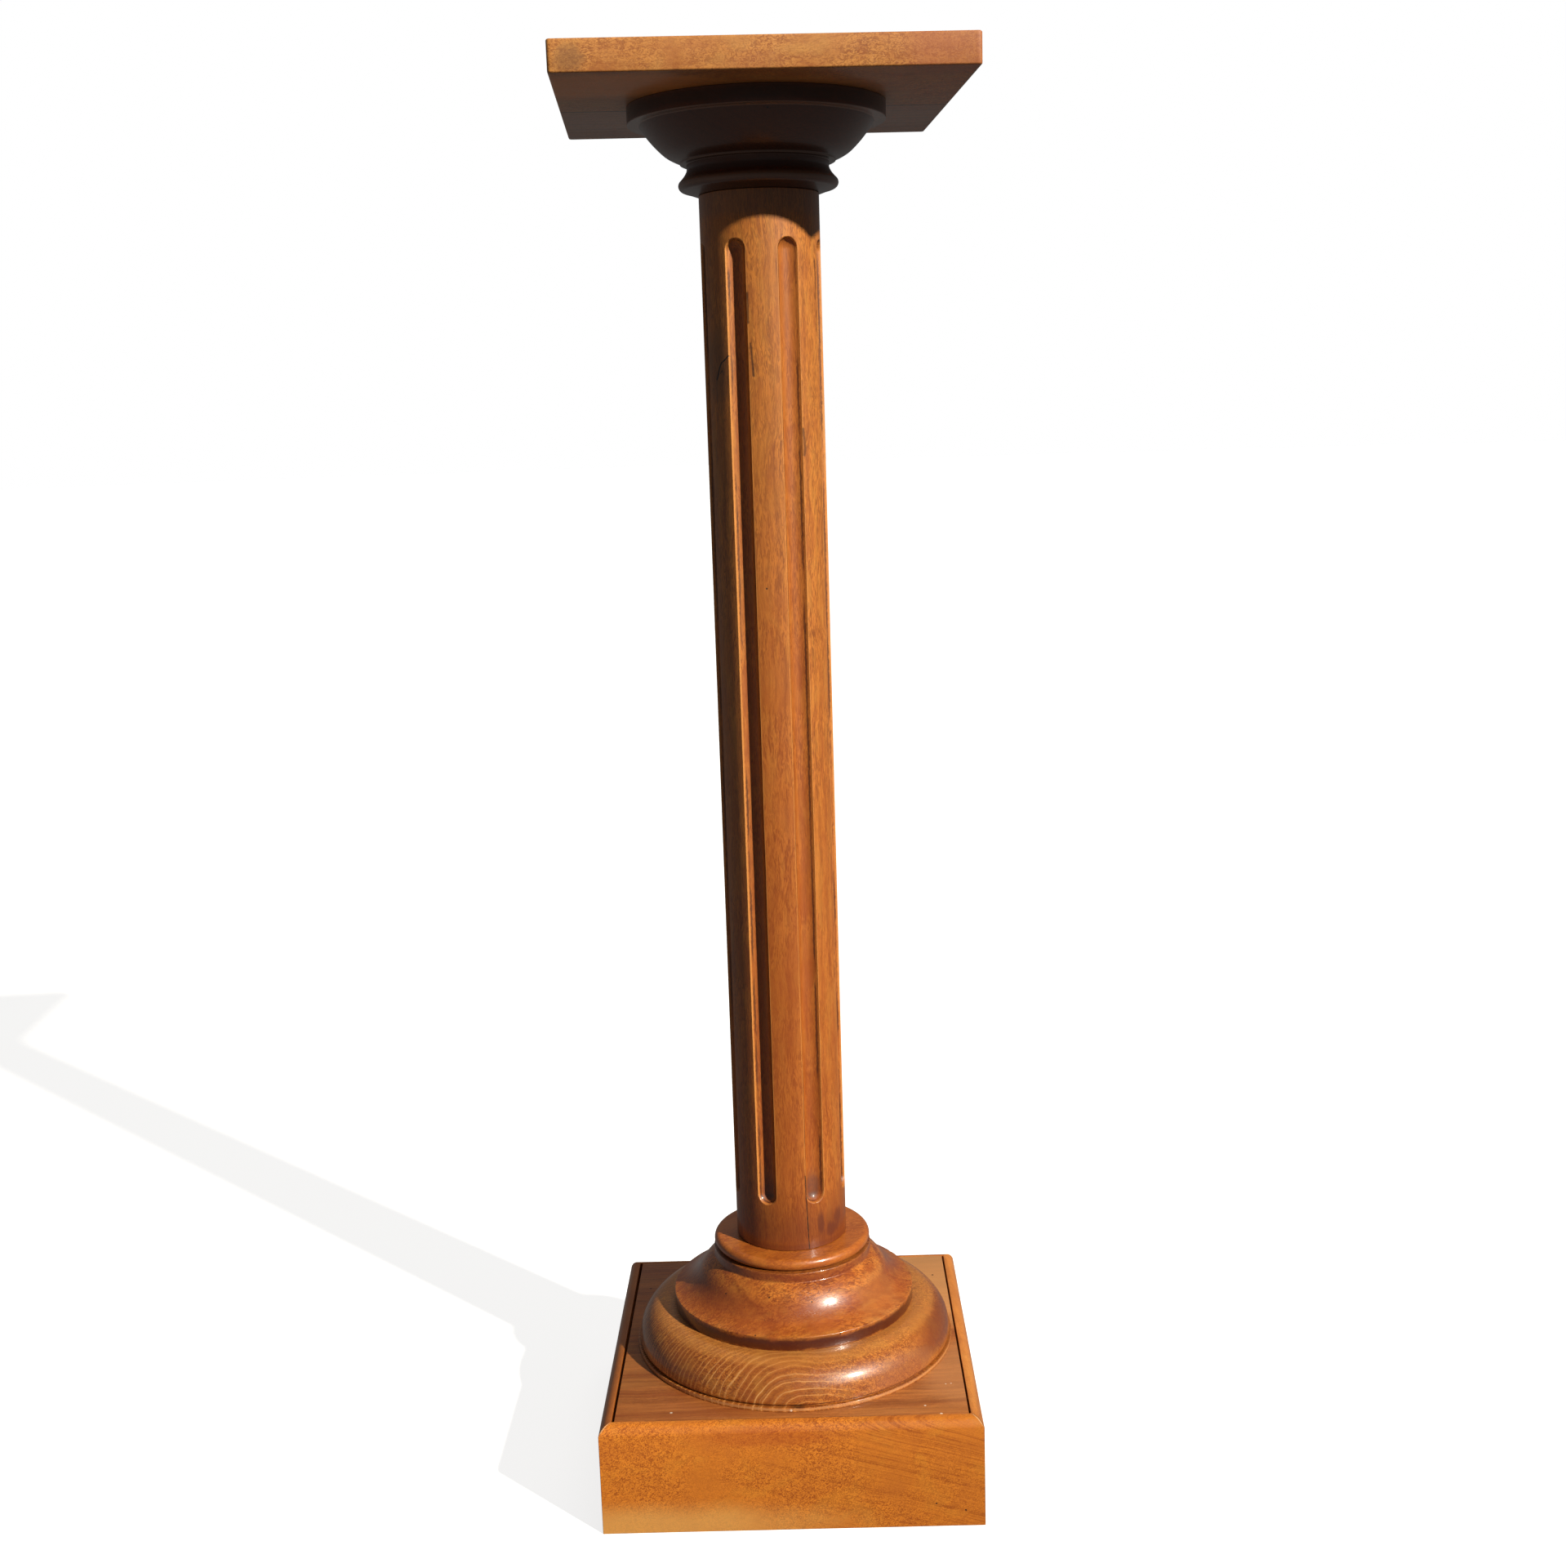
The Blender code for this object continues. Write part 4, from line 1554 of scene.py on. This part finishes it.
def bell_wood() -> Wood:
    """The upper ring, redder at the bead, with dark red painted shade on its band, fillet, quirk
    and steep waist, painted light on its sunlit right, and worm holes.
    """
    holes = ((-51.1, -51.9, 143.7), (-45.9, -65.3, 136.2), (-37.1, -66.9, 139.4),
             (-17.7, -67.7, 147.3), (14.3, -70.7, 144.6), (26.5, -69.6, 141.7),
             (-21.6, -78.3, 134.8), (-19.2, -79.3, 134.6), (-3.2, -82.0, 134.2),
             (-28.4, -88.8, 127.9), (35.0, -87.0, 126.5))
    return Wood(
        "bell_wood", turn=(0, 90.0, 25.0), pith=(0, 40.0, -30.0), ring_pitch=9.0,
        pale=(0.62, 0.190, 0.026), deep=(0.20, 0.040, 0.006), fleck=0.85, fleck_size=1.9,
        fleck_stretch=0.35, streak=0.95, mottle=0.70, mottle_size=11.0, mottle_stretch=0.5,
        gold=0.40, coat=0.95, coat_roughness=0.15, roughness=0.36,
        bands=(
            # Painted shade: the steep waist darker and redder.
            Band(139.0, 9.0, (0.26, 0.050, 0.010), 0.55),
            # Painted shade: the band's upright face very dark red.
            Band(121.3, 6.4, (0.060, 0.006, 0.0012), 0.95),
            Band(131.0, 4.0, (0.34, 0.065, 0.008), 0.38),
            Band(168.6, 7.5, (0.46, 0.120, 0.015), 0.55),
            # Painted shade: the fillet under the bead.
            Band(159.0, 4.6, (0.20, 0.035, 0.008), 0.60),
            # Painted shade: a dark line in the quirk under the bead.
            Band(163.6, 1.5, (0.04, 0.012, 0.006), 0.5)),
        zones=(
            # Painted light: the sunlit right side paler and yellower.
            Zone((68.0, -46.0, 140.0), (30.0, 40.0, 20.0), (0.64, 0.29, 0.085), 0.34,
                 ragged=1.4),
            # Painted shade: the left side darker and redder.
            Zone((-62.0, -45.0, 140.0), (26.0, 34.0, 16.0), (0.28, 0.055, 0.006), 0.30,
                 ragged=1.2)),
        spots=tuple(Spot(at, 0.85) for at in holes))


def shaft_wood() -> FlutedWood:
    """The shaft, darker towards its foot, with cracks, dirt and painted sheen at the flutes'
    ends, and a painted greyish reflection over its shaded top.
    """
    return FlutedWood(
        "shaft_wood", pith=(70.0, 60.0, 0), ring_pitch=7.0, rings=0.24,
        pale=(0.62, 0.205, 0.030), deep=(0.22, 0.055, 0.008), fleck=0.80, fleck_size=1.3,
        fleck_stretch=0.13, streak=1.00, mottle=0.50, mottle_size=8.0, mottle_stretch=0.25,
        gold=0.35, coat=0.40, coat_roughness=0.15, roughness=0.48,
        scratches=(
            Scratch(((16.3, 232.7), (16.9, 214.0), (18.0, 190.0), (18.8, 172.9)), 0.55),
            Scratch(((-51.0, 826.5), (-49.5, 828.5), (-47.0, 833.5), (-44.0, 837.5)), 1.1),
            Scratch(((-44.0, 837.5), (-39.5, 839.5), (-35.2, 842.0)), 0.75),
            Scratch(((-45.5, 830.5), (-43.0, 832.5), (-41.5, 829.5)), 0.6, 0.8),
            Scratch(((39.4, 772.0), (40.6, 777.0), (38.8, 790.0)), 1.7, 0.6, 0.2),
            Scratch(((-13.4, 884.0), (-12.6, 876.0), (-13.2, 864.0)), 1.2, 0.75, 0.1),
            Scratch(((-11.4, 850.0), (-10.0, 838.0), (-9.4, 828.0)), 1.3, 0.75, 0.1),
            Scratch(((62.5, 906.0), (63.5, 893.0), (62.0, 880.0)), 1.1, 0.6, 0.1),
            Scratch(((64.0, 872.0), (63.0, 858.0)), 0.9, 0.55, 0.1)),
        bands=(
            Band(174.0, 5.0, (0.05, 0.017, 0.008), 0.55),
            # Painted reflection: a greyish sheen over the shaded top of the shaft.
            Band(946.0, 13.0, (0.11, 0.075, 0.080), 0.45)),
        zones=(
            Zone((34.0, -27.0, 183.0), (22.0, 26.0, 19.0), (0.040, 0.014, 0.008), 0.35,
                 ragged=1.6),
            Zone((23.0, -36.0, 193.0), (3.6, 5.0, 11.0), (0.030, 0.019, 0.018), 0.85,
                 ragged=1.8),
            Zone((31.5, -28.8, 184.0), (8.5, 9.0, 7.0), (0.034, 0.020, 0.018), 0.90,
                 ragged=2.0),
            Zone((36.0, -23.0, 193.0), (5.0, 7.0, 9.0), (0.060, 0.024, 0.016), 0.80,
                 ragged=2.0),
            Zone((0.0, -43.0, 480.0), (19.0, 14.0, 380.0), (0.36, 0.070, 0.006), 0.36,
                 ragged=0.6),
            Zone((-32.0, -29.0, 834.0), (15.0, 16.0, 34.0), (0.06, 0.030, 0.026),
                 ragged=1.2),
            # Grey patches at the flutes' lower ends: partly dust, partly painted sheen.
            Zone((17.6, -33.2, 222.0), (7.5, 7.5, 9.5), (0.11, 0.075, 0.060), 0.60,
                 ragged=0.8),
            Zone((-15.9, -34.2, 219.0), (6.0, 6.0, 6.5), (0.12, 0.085, 0.070), 0.60,
                 ragged=0.6)),
        spots=(Spot((-2.6, -42.6, 679.0), 1.0),))


def capital_wood() -> Wood:
    """The capital, much darker, partly from a dark stain and partly as painted shade under the
    top board, with worn edges that also carry painted highlights and reflections, and a painted
    greyish sheen on the neck.
    """
    # edge: lighter arrises, partly wear and partly painted highlight.
    edge = (0.30, 0.17, 0.11)
    return Wood(
        "capital_wood", turn=(0, 90.0, 40.0), pith=(0, 60.0, 900.0), ring_pitch=8.0,
        # These dark colours are partly the wood's dark stain, partly painted shade under the top
        # board.
        pale=(0.120, 0.036, 0.012), deep=(0.048, 0.014, 0.006), rings=0.18,
        red=(0.08, 0.020, 0.008), fleck=0.18, coat=0.38, coat_roughness=0.16,
        bands=(
            # Painted shade: the dark ring at 1008.5 on the disc under the top board.
            Band(1008.5, 5.6, (0.020, 0.009, 0.006), 0.7), Band(1002.1, 0.7, edge, 0.7),
            # The edge rings at 1002.1, 975.8 and 961.5: partly wear, partly painted highlight; at
            # 961.5 a painted reflection on the astragal.
            Band(975.8, 0.7, edge, 0.35), Band(961.5, 3.4, edge, 0.42),
            # Painted sheen: the greyish ring at 969.5 on the neck.
            Band(969.5, 4.0, (0.075, 0.058, 0.058), 0.60)),
        spots=(Spot((8.9, -81.2, 1000.1), 1.1), Spot((62.6, -52.0, 999.8), 0.8)))


def top_woods() -> Tuple[Wood, Wood]:
    """The woods of the front and the back top board."""
    def joint(depth: float) -> Zone:
        """The dark line of the glued joint on one board."""
        return Zone((0.0, depth, 1014.0), (200.0, 1.1, 6.0), (0.030, 0.012, 0.007), 0.9,
                    4.0, 0.1, 0.6)

    front = Wood(
        "front_top_wood", turn=(0, 88.0, 4.0), pith=(0, -90.0, 1100.0), ring_pitch=9.0,
        rings=0.26, fleck=0.80, fleck_size=1.9, mottle=0.40, mottle_size=22.0,
        pale=(0.64, 0.27, 0.062), deep=(0.32, 0.10, 0.020), coat=0.25, roughness=0.50,
        zones=(
            Zone((-113.0, -146.0, 1021.0), (13.0, 20.0, 11.0), (0.17, 0.07, 0.03),
                 ragged=2.0, core=0.1),
            Zone((132.0, -128.0, 1030.0), (46.0, 40.0, 60.0), (0.42, 0.125, 0.045), 0.60,
                 ragged=0.6),
            Zone((5.0, -137.0, 1018.0), (24.0, 20.0, 9.0), (0.40, 0.13, 0.04), 0.35,
                 ragged=1.5),
            # Painted light: a pale patch under the board's left, standing for light bounced from
            # the ground.
            Zone((-100.0, -95.0, 1014.0), (95.0, 60.0, 3.0), (0.95, 0.33, 0.060), 0.70),
            joint(10.6)))
    back = Wood(
        "back_top_wood", turn=(0, 91.0, 4.0), pith=(0, 130.0, 980.0), ring_pitch=10.0,
        rings=0.28, fleck=0.30, pale=(0.52, 0.20, 0.050), deep=(0.25, 0.080, 0.018),
        coat=0.3, roughness=0.48, zones=(joint(11.6),))
    return front, back


def main() -> None:
    """Build the pedestal from the ground up, and the studio round it."""
    logging.basicConfig(level=logging.INFO, format="%(name)s: %(message)s")
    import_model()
    bpy.context.scene.view_settings.view_transform = "Standard"
    Studio().build()
    Plinth(plinth_woods()).build()
    Base(torus_wood(), bell_wood()).build()
    Shaft(shaft_wood()).build()
    Capital(capital_wood()).build()
    TopBoard(*top_woods()).build()


if __name__ == "__main__":
    main()
